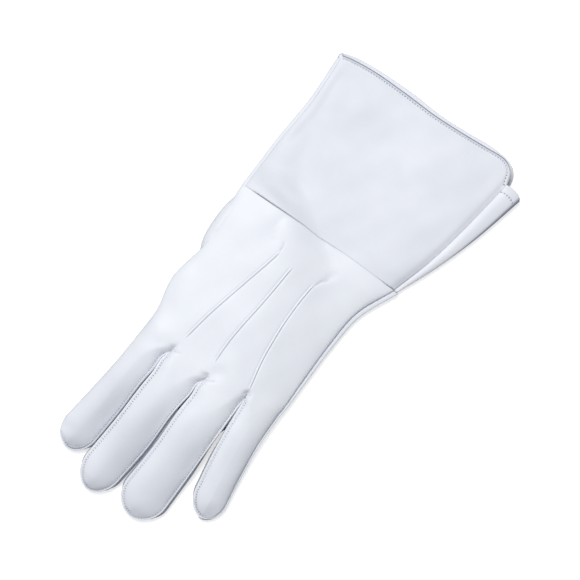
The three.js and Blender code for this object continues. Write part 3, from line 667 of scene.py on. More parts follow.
# Outer surface of strip k, side 1 on the back and -1 on the palm. Across the hand the height is one superellipse,
# and over the four rows before the slits it turns into one rounded side per finger. Everywhere it falls to the seam
# by distance from the sewn edge, with the raw edge lying outside the seam as a low brim.
def handSheet(k, row, across, side):
    p = handShape
    slitRow = slitRows[side]
    left, right, cap = stripEdges(k, row, slitRow)
    plan = left[:, None] + (right - left)[:, None] * across[..., None]
    x, y = plan[..., 0], plan[..., 1]
    rise = glove["crown"] - glove["mid"] if side > 0 else glove["mid"]
    lowX = stripEdges(0, row, slitRow)[0][:, 0][:, None]
    highX = stripEdges(3, row, slitRow)[1][:, 0][:, None]
    place = np.clip(2 * (x - lowX) / (highX - lowX) - 1, -1, 1)
    rowAll = np.broadcast_to(row[:, None], across.shape)
    capAll = np.broadcast_to(cap[:, None], across.shape)
    outer = p["wall"] + 0.06

    distance, along = nearestOn(sewnEdge(k, slitRow), plan)
    sewn = smooth((rowAll - slitRow) / 0.7)
    if k == 0:
        sewn = sewn * np.where(across < 0.5, smooth((rowAll - 24.0) / 1.2), 1)
    if k == 3:
        sewn = sewn * np.where(across > 0.5, smooth((rowAll - 22.9) / 1.9), 1)
    allowance = p["allowance"] * sewn
    reach = lerp(p["crotchReach"], p["reach"], smooth((rowAll - slitRow) / 2.2))
    thumbSide = lerp(0.5, smooth((across - 0.35) / 0.3), smooth(capAll * 1.6))
    fall = sideRise(distance - allowance, reach, lerp(1.6, 1.85, thumbSide))
    roundSide = np.ones_like(x)
    if k in p["lastRow"]:
        outline = stripEdges(k, np.linspace(10, p["lastRow"][k], 120), slitRow)[0 if k == 0 else 1]
        roundSide = sideRise(nearestOn(outline, plan)[0], p["sideReach"])

    share = smooth((rowAll - (slitRow - 4)) / 4)
    seam = seamHeight(capAll)
    leftBase = outer + 0 * seam if k == 0 else seam
    rightBase = seam * smooth((rowAll - 22.4) / 1.4) if k == 3 else seam
    base = lerp(outer * ((1 - place) / 2) ** 6, lerp(leftBase, rightBase, across), share)
    dip = wristDip(x) * (1 - smooth(rowAll / 1.3)) if side > 0 else 0.0
    height = base + (rise - dip - base) * lerp(dome(place, glove["handRound"]), roundSide, share) * fall
    lip = lerp(p["lipLeft"], p["lipRight"], thumbSide) if side > 0 else 0.1
    lip = lip * sewn * np.clip(1 - distance / p["allowance"], 0, 1) ** 1.2
    height = height + lip * smooth((seam - outer) / 0.8 + 0.35)

    # Painted shade: dark lines along the sewn edges, beside the stitched points, in the small creases and in the wrist
    # seam's groove
    crease = lerp(0.9, 0.1, thumbSide) * sewn * bell(distance - allowance, 0.25)
    crease = crease + lerp(0.2, 0.8, thumbSide) * sewn * bell(distance, 0.2)
    width = np.linalg.norm(right - left, axis=1)[:, None]
    fromWrist = rowAll * p["rowLength"]
    if side > 0:
        for line, away, dark in ((k, across * width, 0.05), (k + 1, (1 - across) * width, 0.85)):
            if line in p["points"]:
                start, stop = p["points"][line]
                on = smooth((rowAll - start) * 2.4) * smooth((stop - rowAll) * 1.2)
                height = height + on * p["pointHeight"] * bell(away, p["pointWidth"])
                height = height - on * p["pointSide"] * bell(away - 0.85, 0.4)
                # painted shade in the groove beside each point, darker on its little-finger side
                crease = np.maximum(crease, on * dark * bell(away - 0.45, 0.3))
        pinch, dark = creaseAt(x, y)
        height = height + (softness(x, y) - pinch) * smooth((height - seam) / 2.5 + 0.1)
        crease = np.maximum(crease, dark)
        deep, dark = wristGroove(fromWrist, wristSeam(x))
        height, crease = height - deep, np.maximum(crease, dark)
        # Painted shade on the fingers: greyer towards the tips and over the side turned from the light
        paintedShade = p["paintedShade"][k] * smooth((rowAll - slitRow - 0.5) / 5) * smooth((0.95 - across) / 0.55)
    else:
        height = height - 0.5 * np.maximum(0, 1 - fromWrist / 0.8) ** 2
        # painted shade at the palm's wrist seam
        crease = np.maximum(crease, 0.6 * np.maximum(0, 1 - fromWrist / 0.7))
        paintedShade = 0 * crease
    z = glove["mid"] + side * height + floorAt(x, y)
    stitched = np.where((sewn > 0.6) & (thumbSide > 0.5), distance, unstitched)
    return np.dstack([plan, z]), np.dstack([stitched, along, crease, paintedShade])


# Column places across a strip: close together at its edges, at other distances in the fingers than in the hand
def columnsAt(row, slitRow, middle, width=27.0):
    def places(edges, wide):
        near = np.array(edges) / wide
        inner = near[-1] + (1 - 2 * near[-1]) * np.linspace(0, 1, middle + 2)[1:-1]
        return np.concatenate([near, inner, 1 - near[::-1]])

    hand, finger = places(handShape["edges"], width), places(handShape["fingerEdges"], 24.5)
    share = smooth((row - (slitRow - 2)) / 2)[:, None]
    return lerp(hand[None, :], finger[None, :], share)


# Rows of the hand's grid, closer together at the wrist seam and where the slits start
def rowsOf(step, capCount, slitRow):
    near = [0, 0.015, 0.03, 0.05, 0.08, 0.12, 0.18, 0.27]
    hand = np.arange(0.4, glove["handRows"] - 0.05, step)
    crotch = slitRow + np.array([-0.06, 0.06, 0.12, 0.18, 0.26, 0.34, 0.43, 0.52])
    finger = np.arange(glove["handRows"], glove["capRow"] - 0.05, step)
    cap = np.linspace(glove["capRow"], glove["tipRow"], capCount)
    return np.unique(np.round(np.concatenate([near, hand, crotch, finger, cap]), 5))


# The two sheets run on past the outer seam as a flat strip, with painted shade over it, darkest at its inner groove and
# its outer rim
def outerStrip(edge, row, side):
    reach = np.interp(row, *zip(*handShape["flange"]))[:, None]
    t = np.array([1.0, 0.96, 0.85, 0.6, 0.35, 0.2, 0.1, 0.0])[None, :]
    x = edge[..., 0] - reach * t * fingerEdges(0, row)[2][:, None]
    y = np.broadcast_to(edge[..., 1], x.shape)
    z = edge[..., 2] - side * (0.25 * t**6 + 0.4 * bell(t * reach - 0.35, 0.3) * (t > 0))
    dark = 0.25 + 0.75 * bell(t * reach - 0.2, 0.32) + 0.9 * smooth((t - 0.84) / 0.12)
    return np.dstack([x, y, z]), np.dstack([x * 0 + unstitched, x * 0, dark + 0 * x, x * 0]), side < 0


def makeHand(side):
    slitRow = slitRows[side]
    row = rowsOf(0.125, 34, slitRow) if side > 0 else rowsOf(0.25, 24, slitRow)
    across = columnsAt(row, slitRow, 13 if side > 0 else 7)
    grids = []
    for k in range(4):
        grid, extra = handSheet(k, row, across, side)
        grids.append((grid, extra, side < 0))
        if k == 0:
            grids.append(outerStrip(grid[:, :1], row, side))
    return wallMesh("handBack" if side > 0 else "handPalm", grids, handShape["wall"])


addPiece(makeHand(1), handLeather, "hand_back")
addPiece(makeHand(-1), handLeather, "hand_palm")

# Forks
forkShape = dict(bulge=4.2, leftShare=0.6, webRows=2.8, wall=0.8, top=0.75, last=24.0)


# One wing of a fork: it hangs from the back's brim to the palm's and bows out by a sine, so that a fork's two wings
# almost touch where there is room. By the crotch its depth grows with the square of the distance, and the wings share
# a sloping web.
def forkWing(k, side, row, down):
    left, right, cap = fingerEdges(k, row)
    edge, far = (left, right) if side < 0 else (right, left)
    facing = fingerEdges(k + side, row)[1 if side < 0 else 0]
    room = np.minimum(1.2 * np.abs(edge - facing)[:, :1] + 2 * forkShape["top"] + 0.1, forkShape["bulge"])
    width = np.linalg.norm(far - edge, axis=1)[:, None]
    tall = np.maximum(2 * (seamHeight(cap) - handShape["wall"] - 0.03), 0.06)[:, None]
    past = row[:, None] - glove["handRows"]
    deep = tall * np.clip(past / forkShape["webRows"], 0, 1) ** 2
    top = 0.08 + forkShape["top"] * smooth(past / 0.8)
    part = forkShape["leftShare"] if side < 0 else 1 - forkShape["leftShare"]
    bow = room * part * smooth((past - 0.3) / 1.5)
    sink = top - bow * np.sin(math.pi * down)[None, :] * deep / (glove["fork"] + glove["gap"] - 2 * handShape["wall"])
    share = np.clip(sink / np.maximum(width, 0.1), -0.5, 0.5)
    plan = edge[:, None] + (far - edge)[:, None] * share[..., None]
    z = glove["mid"] + tall / 2 - deep * down[None, :] + floorAt(plan[..., 0], plan[..., 1])
    return np.dstack([plan, z])


def makeFork(k, name):
    web = glove["handRows"] + np.linspace(0.05, 1, 9) * forkShape["webRows"]
    row = np.concatenate([web, np.arange(web[-1] + 0.2, forkShape["last"], 0.2)])
    down = np.linspace(0, 1, 9)
    nearWing, farWing = forkWing(k, 1, row, down), forkWing(k + 1, -1, row, down)
    middle = np.stack([nearWing[: len(web), -1], farWing[: len(web), -1]], 1)
    # the forks carry a little more painted shade as well
    grids = [(grid, np.array([unstitched, 0, 0.25, 0]), False) for grid in (nearWing, farWing[:, ::-1], middle)]
    return wallMesh(name, grids, forkShape["wall"])


forkNodes = dict(
    forkRingLittle="fork_ring_little", forkMiddleRing="fork_middle_ring", forkIndexMiddle="fork_index_middle"
)
for k, (name, node) in enumerate(forkNodes.items()):
    addPiece(makeFork(k, name), forkLeather, node)

# Cuff
cuffLines = dict(
    fold=[(-58.0, -6.2), (-66.3, -35.0), (-72.6, -66.0), (-77.1, -102.0)],
    gussetBack=[(-55.4, -6.0), (-60.3, -35.0), (-62.5, -67.0), (-63.4, -103.4)],
    gussetPalm=[(-55.7, -6.0), (-61.0, -35.0), (-64.0, -67.0), (-65.8, -103.6)],
    side=[(60.6, 8.3), (63.9, -27.0), (65.4, -60.0), (70.2, -92.8)],
)
hemBack = [
    (-63.4, -103.4), (-59.8, -110.6), (-52.0, -114.2), (-38.0, -111.8), (-20.0, -108.2),
    (0.0, -105.0), (22.0, -103.1), (44.0, -100.5), (60.0, -97.2), (67.8, -94.6),
]
hemPalm = [
    (-65.8, -103.6), (-63.0, -111.2), (-56.0, -115.8), (-42.0, -115.7), (-24.0, -112.2),
    (-4.0, -108.8), (18.0, -107.4), (42.0, -104.2), (58.0, -100.7), (67.2, -97.0), (70.0, -94.2),
]
cuffShape = dict(
    crownAtHem=14.2,
    midAtHem=6.4,
    round=2.7,
    flat=0.5,
    inset=2.4,  # the thumb side seam lies this far inside the fold
    length=104.0,
    hemRoll=1.0,
    hemDepth=8.0,
    wall=0.95,
)


def cuffLine(name, u):
    return curveAt(cuffLines[name], np.clip(u, 0, 1))


# Height of the cuff at x of row u: a superellipse over its width, on the palm flat over the middle half. The back
# dips beside the wrist seam.
def cuffHeight(u, x, side):
    left, right = cuffLine("fold", u)[..., 0], cuffLine("side", u)[..., 0]
    place = np.clip(2 * (x - left) / (right - left) - 1, -1, 1)
    mid = lerp(glove["mid"], cuffShape["midAtHem"], u)
    crown = lerp(glove["crown"], cuffShape["crownAtHem"], u) - wristDip(x) * (1 - smooth(u * 8))
    if side > 0:
        return mid + (crown - mid) * dome(place, cuffShape["round"])
    flat = np.maximum(0, (np.abs(place) - cuffShape["flat"]) / (1 - cuffShape["flat"]))
    return mid - mid * dome(flat, cuffShape["round"])


def wristY(x):
    knots = [line[0] for line in handLines]
    return np.interp(x, [p[0] for p in knots], [p[1] for p in knots])


# Patch between two lines of the cuff, u from the wrist seam to the hem and c from line to line: the straight blend of
# the two lines, corrected at both ends so that it meets the wrist seam and the hem
def cuffPlan(lineA, lineB, hem, u, c):
    u, c = np.broadcast_arrays(u, c)

    def both(t):
        return [cuffLine(name, t) + np.array([by, 0.0]) for name, by in (lineA, lineB)]

    (a0, b0), (a, b), (a1, b1) = both(np.zeros(1)), both(u), both(np.ones(1))
    wristX = lerp(a0[0, 0], b0[0, 0], c)
    top = np.stack([wristX, wristY(wristX) - 0.02], -1)
    hemShift = lerp(a1[0, 0] - hem[0][0], b1[0, 0] - hem[-1][0], c)
    bottom = curveAt(hem, c) + np.stack([hemShift, 0 * c], -1)
    u, c = u[..., None], c[..., None]
    return lerp(a, b, c) + (1 - u) * (top - lerp(a0, b0, c)) + u * (bottom - lerp(a1, b1, c))


# Valley along the gusset's seam, by distance from it
def gussetDip(distance, u):
    return 1.5 * bell(distance, 2.6) * (1 - 0.3 * u) * smooth((1.02 - u) * 12)


# How dark the painted shade along the gusset's seam is: crisp only by the wrist
def gussetLine(u):
    return np.interp(u, [0, 0.2, 0.4, 1], [0.8, 0.5, 0.1, 0.03])


# Profile across a turned hem by distance from its edge: a soft bead, then the channel of the stitches
def hemRelief(distance):
    bead, channel, swell = bell(distance - 0.95, 0.5), bell(distance - 2.0, 0.45), bell(distance - 3.4, 0.8)
    return 0.22 * bead - 0.3 * channel + 0.1 * swell


# Painted shade along the back's turned edge, for the shadow under it on the palm's hem, weaker round the corner by the
# gusset
def hemShadeFade(x):
    return 0.3 + 0.7 * smooth((x + 60) / 8)


def edgePlaces(width, edges, middle):
    near = np.array(edges) / width
    return np.concatenate([near, np.linspace(near[-1], 1 - near[-1], middle + 2)[1:-1], 1 - near[::-1]])


# Rolls the hem: half a circle of radius hemRoll from the edge inwards, then the turned layer lying under the panel
def hemRows(edge, outward, normal, count=7):
    r, rows = cuffShape["hemRoll"], []
    for angle in np.linspace(0, math.pi, count)[1:]:
        rows.append(edge + outward * r * math.sin(angle) - normal * r * (1 - math.cos(angle)))
    for back in (2.0, 5.0, cuffShape["hemDepth"]):
        rows.append(edge - outward * back - normal * 2 * r)
    return np.stack(rows)


# Where the palm's panel wraps the thumb side fold, up to the seam on the back. `plan` is the panel's last column, with
# its heights `under`, and `roll` the last column of its rolled hem.
def thumbFold(plan, under, u, outward, roll):
    t = np.array([0, 0.15, 0.3, 0.45, 0.6, 0.75, 0.9, 1.0])
    px, py = plan[..., 0], plan[..., 1]
    inset = cuffShape["inset"] * (1 - np.cos(t * math.pi / 2))[None, :]
    x, y = px - inset, py + (1 - u) * (wristY(px - inset) - wristY(px))
    z = cuffHeight(np.broadcast_to(u, x.shape), x, 1) - 0.03 * bell(cuffShape["inset"] - inset, 0.5) + floorAt(x, y)
    z[:, 0] = under
    fold = np.dstack([x, y, z])
    spot = 1.3 * np.exp(-(((x - 70.0) / 1.6) ** 2) - ((y + 93.6) / 1.6) ** 2)  # darker where hem and fold meet
    angle = (t * math.pi)[:, None]
    normal = np.hstack([np.sin(angle), 0 * angle, -np.cos(angle)])
    foldRoll = hemRows(fold[-1], outward, normal)
    foldRoll[:, 0] = roll
    extra = np.dstack([0 * x + unstitched, 0 * x, spot, 0 * x])
    rollExtra = np.broadcast_to(plain, foldRoll.shape[:2] + (4,))
    return np.concatenate([fold, foldRoll])[::-1], np.concatenate([extra, rollExtra])[::-1], True


def makeCuffPanel(side):
    back = side > 0
    hem = hemBack if back else hemPalm
    lineA = ("gussetBack" if back else "gussetPalm", 0.05)
    lineB = ("side", -cuffShape["inset"] - 0.01 if back else 0.0)
    length = cuffShape["length"]
    wristNear = [0, 0.15, 0.3, 0.5, 0.8, 1.2, 1.8, 2.6]
    hemNear = [4.2, 3.3, 2.7, 2.3, 2.0, 1.7, 1.35, 1.0]  # the roll takes the last millimetre
    u = np.concatenate([wristNear, np.linspace(3.8, length - 5.5, 78)]) / length
    u = np.concatenate([u, 1 - np.array(hemNear) / length])
    c = edgePlaces(125.0, [0, 0.3, 0.6, 1.0, 1.5, 2.2, 3.1, 4.3], 84)
    uGrid, cGrid = np.meshgrid(u, c, indexing="ij")
    plan = cuffPlan(lineA, lineB, hem, uGrid, cGrid)
    hemPath = cuffPlan(lineA, lineB, hem, np.ones(900), np.linspace(0, 1, 900))
    distance, along = nearestOn(hemPath, plan)
    x, y = plan[..., 0], plan[..., 1]
    z = side * cuffHeight(uGrid, x, side)
    deep, crease = wristGroove(uGrid * length, wristSeam(x) if back else 0.6)
    z = z - deep
    z = z + (hemRelief(distance) if back else np.minimum(hemRelief(distance), 0))
    fromGusset = x - cuffLine(lineA[0], uGrid)[..., 0]
    paintedShade = 0 * x
    if back:
        fromSide = (cuffLine("side", uGrid)[..., 0] - cuffShape["inset"]) - x
        z = z - gussetDip(fromGusset, uGrid) + softness(x, y) * smooth(fromGusset / 12) * smooth(fromSide / 7)
        z = z - 0.03 * bell(fromSide, 0.5)
        # Painted shade along the back's hem edge, at the gusset's seam and in the hem's stitch channel
        crease = np.maximum(crease, 1.2 * hemShadeFade(x) * bell(distance, 0.75))
        # Painted shade over the cuff: a little everywhere, more from the middle towards the thumb side
        paintedShade = 0.07 + 0.08 * smooth((x - 5) / 30) * smooth((68 - x) / 8)
    crease = np.maximum(crease, gussetLine(uGrid) * bell(fromGusset, 0.5))
    crease = np.maximum(crease, 0.25 * bell(distance - 2.0, 0.35))
    z = side * z + floorAt(x, y)
    grid, extra = np.dstack([x, y, z]), np.dstack([distance, along, crease, paintedShade])
    edge = grid[-1]
    tangent = np.gradient(edge, axis=0)
    outward = unit(np.stack([tangent[:, 1], -tangent[:, 0], 0 * tangent[:, 0]], 1))
    normal = unit(np.cross(outward, tangent))
    normal *= side * np.sign(normal[:, 2:])
    roll = hemRows(edge, outward, normal)
    rollExtra = np.broadcast_to(plain, roll.shape[:2] + (4,)).copy()
    # painted shade on the back's rolled hem, and a trace of it on the palm's
    rollExtra[0:5, :, 2] = 1.9 * hemShadeFade(edge[:, 0]) if back else 0.08
    whole, wholeExtra = np.concatenate([grid, roll]), np.concatenate([extra, rollExtra])
    grids = [(whole[::-1], wholeExtra[::-1], not back)]
    if not back:
        grids.append(thumbFold(plan[:, -1:], z[:, -1], uGrid[:, :1], outward[-1], roll[:, -1]))
    return wallMesh("cuffBack" if back else "cuffPalm", grids, cuffShape["wall"]), hemPath


cuffBackMesh, hemBackPath = makeCuffPanel(1)
cuffPalmMesh, hemPalmPath = makeCuffPanel(-1)
addPiece(cuffBackMesh, cuffLeather, "cuff_back")
addPiece(cuffPalmMesh, cuffLeather, "cuff_palm")


# The gusset: a wedge folded along the little side, from the palm's seam round the fold to the back's
gussetHem = [(-65.8, -103.6), (-68.4, -104.6), (-71.4, -104.9), (-74.4, -104.4), (-76.3, -103.2), (-77.1, -101.8)]


def gussetSheet(name, side, uGrid, tGrid, length):
    plan = cuffPlan((name, -0.05), ("fold", 0.0), gussetHem, uGrid, tGrid)
    x, y = plan[..., 0], plan[..., 1]
    away, fromHem = cuffLine(name, uGrid)[..., 0] - x, (1 - uGrid) * length
    z = cuffHeight(uGrid, x, side)
    z = z + side * 0.8 * (0.2 * bell(fromHem - 1.5, 1.2) - 0.28 * bell(fromHem - 6.0, 0.5))
    if side > 0:
        z = z - gussetDip(away, uGrid) * (1 - tGrid)
    # Painted shade along the gusset's seam and in its hem's stitch channel
    crease = gussetLine(uGrid) * bell(away, 0.5) + 0.2 * bell(fromHem - 6.0, 0.4)
    shadow = 1.8 * smooth((tGrid - lerp(0.86, 0.64, uGrid)) / 0.24) * smooth((uGrid - 0.1) / 0.6)
    crease = np.maximum(crease, shadow)  # painted shadow along the fold's edge
    return np.dstack([x, y, z + floorAt(x, y)]), np.dstack([fromHem - 4.0, away, crease, 0 * crease])


def makeGusset():
    length = 97.0
    u = np.concatenate([np.linspace(0, 88, 70), np.linspace(88.8, 96, 14)]) / length
    uGrid, tGrid = np.meshgrid(u, np.sin(np.linspace(0, 1, 14) * math.pi / 2), indexing="ij")
    under, underExtra = gussetSheet("gussetPalm", -1, uGrid, tGrid, length)
    over, overExtra = gussetSheet("gussetBack", 1, uGrid, tGrid, length)
    over[:, -1] = under[:, -1] = (over[:, -1] + under[:, -1]) / 2
    grid = np.concatenate([under, over[:, ::-1][:, 1:]], 1)
    extra = np.concatenate([underExtra, overExtra[:, ::-1][:, 1:]], 1)
    return wallMesh("cuffGusset", [(grid[::-1], extra[::-1], False)], 1.1)


addPiece(makeGusset(), cuffLeather, "cuff_gusset")

# Thumb
thumbShape = dict(
    root=[  # level sections: z, slope, inner, outer, from, to
        (14.4, 0.262, 31.0, 54.6, 13, 57),
        (12.2, 0.13, 31.0, 58.4, 10, 60.5),
        (8.6, 0, 31.0, 59.5, 9, 62),
        (4.0, 0, 31.0, 58.9, 9, 62),
        (1.2, 0, 32.5, 57.2, 11, 60.5),
        (0, 0, 36.0, 54.5, 15, 56.5),
    ],
    skew=3.0,
    near=[(38, 16), (29, 28), (20, 44), (10, 64), (1, 84), (-6.5, 103), (-12, 117)],
    far=[(46, 61), (40, 69), (34, 80), (29, 94), (23, 107), (17, 118), (11.5, 128)],
    tip=(-6.8, 138.6),
    thick=7.5,
    round=2.6,
    voxel=1.0,
)


# Closed tube: at each centre a ring, which is the profile's two amounts along `out` and `up`. Both ends close at
# their middle.
def tube(centre, out, up, profile):
    grid = centre[:, None] + out[:, None] * profile[None, :, :1] + up[:, None] * profile[None, :, 1:]
    ends = [np.broadcast_to(g.mean(0), g.shape)[None] for g in (grid[0], grid[-1])]
    return np.concatenate([ends[0], grid, ends[1]])


def superellipse(count, power):
    angle = np.linspace(0, 2 * math.pi, count + 1)
    return signedPower(np.stack([np.cos(angle), np.sin(angle)], 1), power)


def makeThumb():
    t = thumbShape
    half = t["thick"] / 2
    s = np.linspace(0, 1, 40)
    table = np.array(t["root"], float)
    level, levels = s * (len(table) - 1), range(len(table))
    z, slope, inner, outer, start, stop = [np.interp(level, levels, column) for column in table.T]
    reach = (outer - inner) / 2
    centre = np.stack([inner + reach, (start + stop) / 2, z], 1)
    along = np.stack([-t["skew"] + 0 * s, (stop - start) / 2, -t["skew"] * slope], 1)
    profile = superellipse(48, 2 / t["round"])
    root = tube(centre, along, np.stack([reach, 0 * s, reach * slope], 1), profile)
    near, far = curveAt(t["near"], s), curveAt(t["far"], s)
    turn = np.linspace(0, math.pi / 2, 12)[1:]
    c, k = np.cos(turn)[:, None], np.sin(turn)[:, None]
    middle = (near + far) / 2
    middle = np.vstack([middle, middle[-1] + (np.array(t["tip"]) - middle[-1]) * k])
    width = np.vstack([(far - near) / 2, (far - near)[-1] / 2 * c])
    deep = np.concatenate([np.full(len(s), half), half * c[:, 0]])
    flatCentre = np.hstack([middle, np.full((len(middle), 1), half)])
    flatAcross = np.hstack([width, np.zeros((len(width), 1))])
    flat = tube(flatCentre, flatAcross, np.stack([0 * deep, 0 * deep, -deep], 1), profile)
    points, _, quads, triangles = weld([(root, plain, False), (flat, plain, False)])
    rough = addObject("thumbDraft", plainMesh("thumbDraft", points, quads, triangles))
    remesh = rough.modifiers.new("voxels", "REMESH")
    remesh.mode = "VOXEL"
    remesh.voxel_size = t["voxel"] / 1000
    soft = rough.modifiers.new("soften", "SMOOTH")
    soft.factor = 0.6
    soft.iterations = 14
    ready = bpy.data.meshes.new_from_object(rough.evaluated_get(bpy.context.evaluated_depsgraph_get()))
    bpy.data.objects.remove(rough)
    co = np.empty(len(ready.vertices) * 3, np.float32)
    ready.vertices.foreach_get("co", co)
    plan = co.reshape(-1, 3)[:, :2] * 1000 - np.array(glove["shift"][:2])
    tipPath = [t["far"][-1], (6.0, 136.0), t["tip"], (-14.0, 131.0), t["near"][-1]]
    nearPath = denseCurve(t["near"][::-1], 200)
    distance, along = nearestOn(np.vstack([denseCurve(t["far"], 200), denseCurve(tipPath, 80)[1:], nearPath[1:]]), plan)
    setExtras(ready, np.stack([distance, along, 0 * along, 0 * along], 1))
    ready.name = "thumb_leather"
    ready.polygons.foreach_set("use_smooth", np.ones(len(ready.polygons), bool))
    return ready


addPiece(makeThumb(), handLeather, "thumb")


# Seam edges and stitches
# Two raw edges side by side: a rounded bar with a shallow groove along its top
def edgeProfile(width, height):
    profile = superellipse(14, 0.6) * np.array([width / 2, height / 2])
    angle = np.linspace(0, 2 * math.pi, 15)
    profile[:, 1] -= np.where(np.sin(angle) > 0.9, height * 0.16, 0)
    return profile


# Small flattened ellipsoids, one per stitch, laid along `tangent` on the surface
def makeStitches(name, centres, tangents, normals, length=1.25, width=0.42, height=0.34):
    lat, lon = np.linspace(-math.pi / 2, math.pi / 2, 6), np.linspace(0, 2 * math.pi, 7)
    latGrid, lonGrid = np.meshgrid(lat, lon, indexing="ij")
    waist = np.cos(latGrid)
    ball = [np.sin(latGrid) * length / 2, waist * np.cos(lonGrid) * width / 2, waist * np.sin(lonGrid) * height / 2]
    grid = centres[:, None, None]
    for part, axis in zip(ball, (tangents, np.cross(normals, tangents), normals)):
        grid = grid + part[None, ..., None] * axis[:, None, None]
    count = len(lat) * len(lon)
    quads = gridQuads(len(lat), len(lon))[None] + count * np.arange(len(centres))[:, None, None]
    points = grid.reshape(-1, 3)
    first, whole, triangles = weldPoints(points, quads.reshape(-1, 4), 1000)
    return plainMesh(name, points[first], whole, triangles)


# Even places along a dense path, halfway between the needle holes
def evenPlaces(path, pitch):
    along = lengthsAlong(path)
    at = np.arange(pitch, along[-1] - pitch / 2, pitch)
    return np.stack([np.interp(at, along, path[:, i]) for i in range(path.shape[1])], 1)


# Drops plan points onto pieces of the scene from above (side 1) or below (side -1)
def layOn(pieces, plan, side):
    trees = [BVHTree.FromObject(p, bpy.context.evaluated_depsgraph_get()) for p in pieces]
    spots, normals = [], []
    for x, y in (plan + np.array(glove["shift"][:2])) / 1000:
        hits = [tree.ray_cast(Vector((x, y, 0.1 * side)), Vector((0, 0, -side))) for tree in trees]
        hits = [hit for hit in hits if hit[0] is not None]
        best = max(hits, key=lambda hit: side * hit[0].z, default=((np.nan,) * 3, (0, 0, side)))
        spots.append(tuple(best[0]))
        normals.append(tuple(best[1]))
    spots = np.array(spots) * 1000 - np.array(glove["shift"])
    return spots, np.array(normals, float)


# Places of the stitches at `inset` from the path. One that misses the pieces, or whose neighbour does, is left out.
def stitchRow(pieces, path, side, inset, pitch, sink=0.02):
    step = unit(np.gradient(path, axis=0))
    line = path + inset * np.stack([-step[:, 1], step[:, 0]], 1)
    plan = evenPlaces(line, pitch)
    spots, normals = layOn(pieces, plan, side)
    tangents = np.gradient(spots, axis=0)
    good = ~np.isnan(spots[:, 0]) & ~np.isnan(tangents[:, 0])
    spots, normals, tangents = spots[good], normals[good], tangents[good]
    tangents = unit(tangents - normals * (tangents * normals).sum(1)[:, None])
    return spots + normals * sink, tangents, normals


bpy.context.view_layer.update()
objects = bpy.data.objects
rowsOfStitches = [
    stitchRow([objects["cuffBack"]], hemBackPath, 1, **cuffStitch),
    stitchRow([objects["cuffPalm"]], hemPalmPath, -1, **cuffStitch),
]
for side, piece in ((1, "handBack"), (-1, "handPalm")):
    for k in range(4):
        outline = sewnEdge(k, slitRows[side])[::-1]
        inset = leatherLook["inset"] - 0.75 * smooth((np.linspace(0, 1, len(outline)) - 0.42) / 0.16)
        rows = stitchRow([objects[piece]], outline, side, inset[:, None], leatherLook["pitch"])
        keep = rows[0][:, 1] > (fingers[k]["left"][0][1] + 6)
        rowsOfStitches.append(tuple(a[keep] for a in rows))
gussetX = np.linspace(-76.3, -64.6, 60)
gussetPath = np.stack([gussetX, np.interp(gussetX, [-76.3, -70, -64.6], [-96.4, -97.2, -97.4])], 1)
rowsOfStitches.append(stitchRow([objects["cuffGusset"]], gussetPath, 1, 0.0, 1.7))
centres, tangents, normals = (np.vstack([r[i] for r in rowsOfStitches]) for i in range(3))
addPiece(makeStitches("stitches", centres, tangents, normals), thread)

# The thumb's seam on the back, where the hand's leather meets the thumb's
thumbSeam = [(58.2, 7.0), (56.6, 17.2), (54.2, 30.2), (52.3, 41.0), (50.9, 52.2), (51.0, 58.9)]
spots, up = layOn([objects["handBack"], objects["thumb_leather"]], denseCurve(thumbSeam, 120), 1)
out = unit(np.cross(unit(np.gradient(spots, axis=0)), up))
fade = np.sin(np.linspace(0.02, math.pi - 0.02, len(spots)))[:, None] ** 0.3
grid = tube(spots - up * (0.25 + 0.5 * (1 - fade)), out, up, edgeProfile(0.7, 0.8))
points, extras, quads, triangles = weld([(grid, np.array([unstitched, 0, 0.15, 0]), True)])
addPiece(plainMesh("thumbSeamEdge", points, quads, triangles, extras), seamLeather)

# Stage
stageShape = dict(
    size=2.4,
    floor=(0.6, 0.605, 0.615, 1),
    floorLight=(0.64, 0.645, 0.65, 1),
    glow=0.62,
    lens=150.0,
    sensor=36,
    view=0.3654,
    centre=(-3.15, -12.7),
    turn=222.0,
    level=0.012,  # the camera's distance is measured from about the glove's top
)


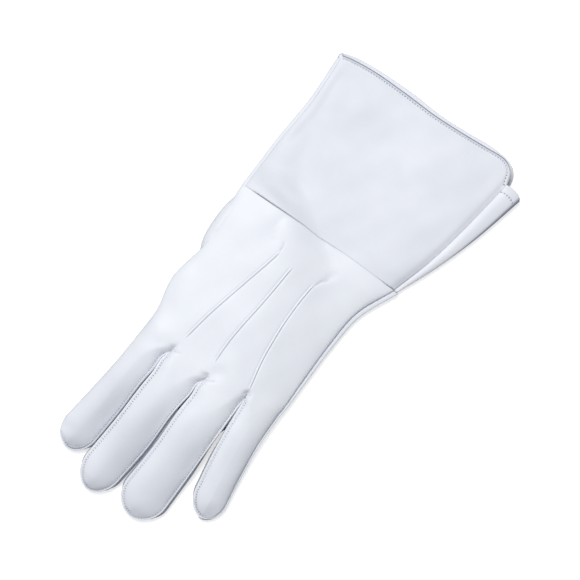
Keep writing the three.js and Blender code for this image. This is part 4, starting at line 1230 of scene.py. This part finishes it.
# A lit table: its own light shows, but does not reach the glove
def makeFloor():
    size = stageShape["size"]
    mesh = bpy.data.meshes.new("floor")
    corners = [(-size, -size, 0), (size, -size, 0), (size, size, 0), (-size, size, 0)]
    mesh.from_pydata(corners, [], [(0, 1, 2, 3)])
    floor = addObject("floor", mesh)
    material, tree, shader = newMaterial("paleFloor")
    place = addNode(tree, "TexCoord", {}).outputs["Object"]
    noise = addNode(tree, "TexNoise", {"Vector": place, "Scale": 30}).outputs[0]
    seen = addNode(tree, "LightPath", {}).outputs["Is Camera Ray"]
    inputs = {
        "Base Color": mixColours(tree, noise, stageShape["floor"], stageShape["floorLight"]),
        "Roughness": 0.8,
        "Emission Color": (1, 1, 1, 1),
        "Emission Strength": addMath(tree, "MULTIPLY", seen, stageShape["glow"]),
    }
    feed(tree, shader, inputs)
    mesh.materials.append(material)


makeFloor()
camera = addObject("camera", bpy.data.cameras.new("camera"))
camera.data.lens = stageShape["lens"]
camera.data.sensor_width = stageShape["sensor"]
camera.data.clip_end = 20
distance = stageShape["view"] * stageShape["lens"] / stageShape["sensor"]
centreX, centreY = (value / 1000 for value in stageShape["centre"])
turned = Matrix.Rotation(math.radians(stageShape["turn"]), 4, "Z")
camera.matrix_world = Matrix.Translation((centreX, centreY, distance + stageShape["level"])) @ turned
bpy.context.scene.camera = camera

lights = dict(
    key=dict(at=(0.7, -0.4, 1.93), size=0.8, power=38.0, colour=(1.0, 0.995, 0.98)),
    fill=dict(at=(0.0, 0.1, 1.4), size=1.0, power=2.0, colour=(0.94, 0.97, 1.0)),
)
for name, light in lights.items():
    lamp = bpy.data.lights.new(name, "AREA")
    lamp.size = light["size"]
    lamp.energy = light["power"]
    lamp.color = light["colour"]
    holder = addObject(name, lamp)
    holder.location = light["at"]
    holder.rotation_euler = (-Vector(light["at"])).to_track_quat("-Z", "Y").to_euler()

world = bpy.data.worlds.new("studio")
bpy.context.scene.world = world
world.use_nodes = True
background = world.node_tree.nodes["Background"]
feed(world.node_tree, background, {"Color": (0.95, 0.97, 1.0, 1), "Strength": 0.3})
bpy.context.scene.view_settings.view_transform = "Standard"
print("stage ready")
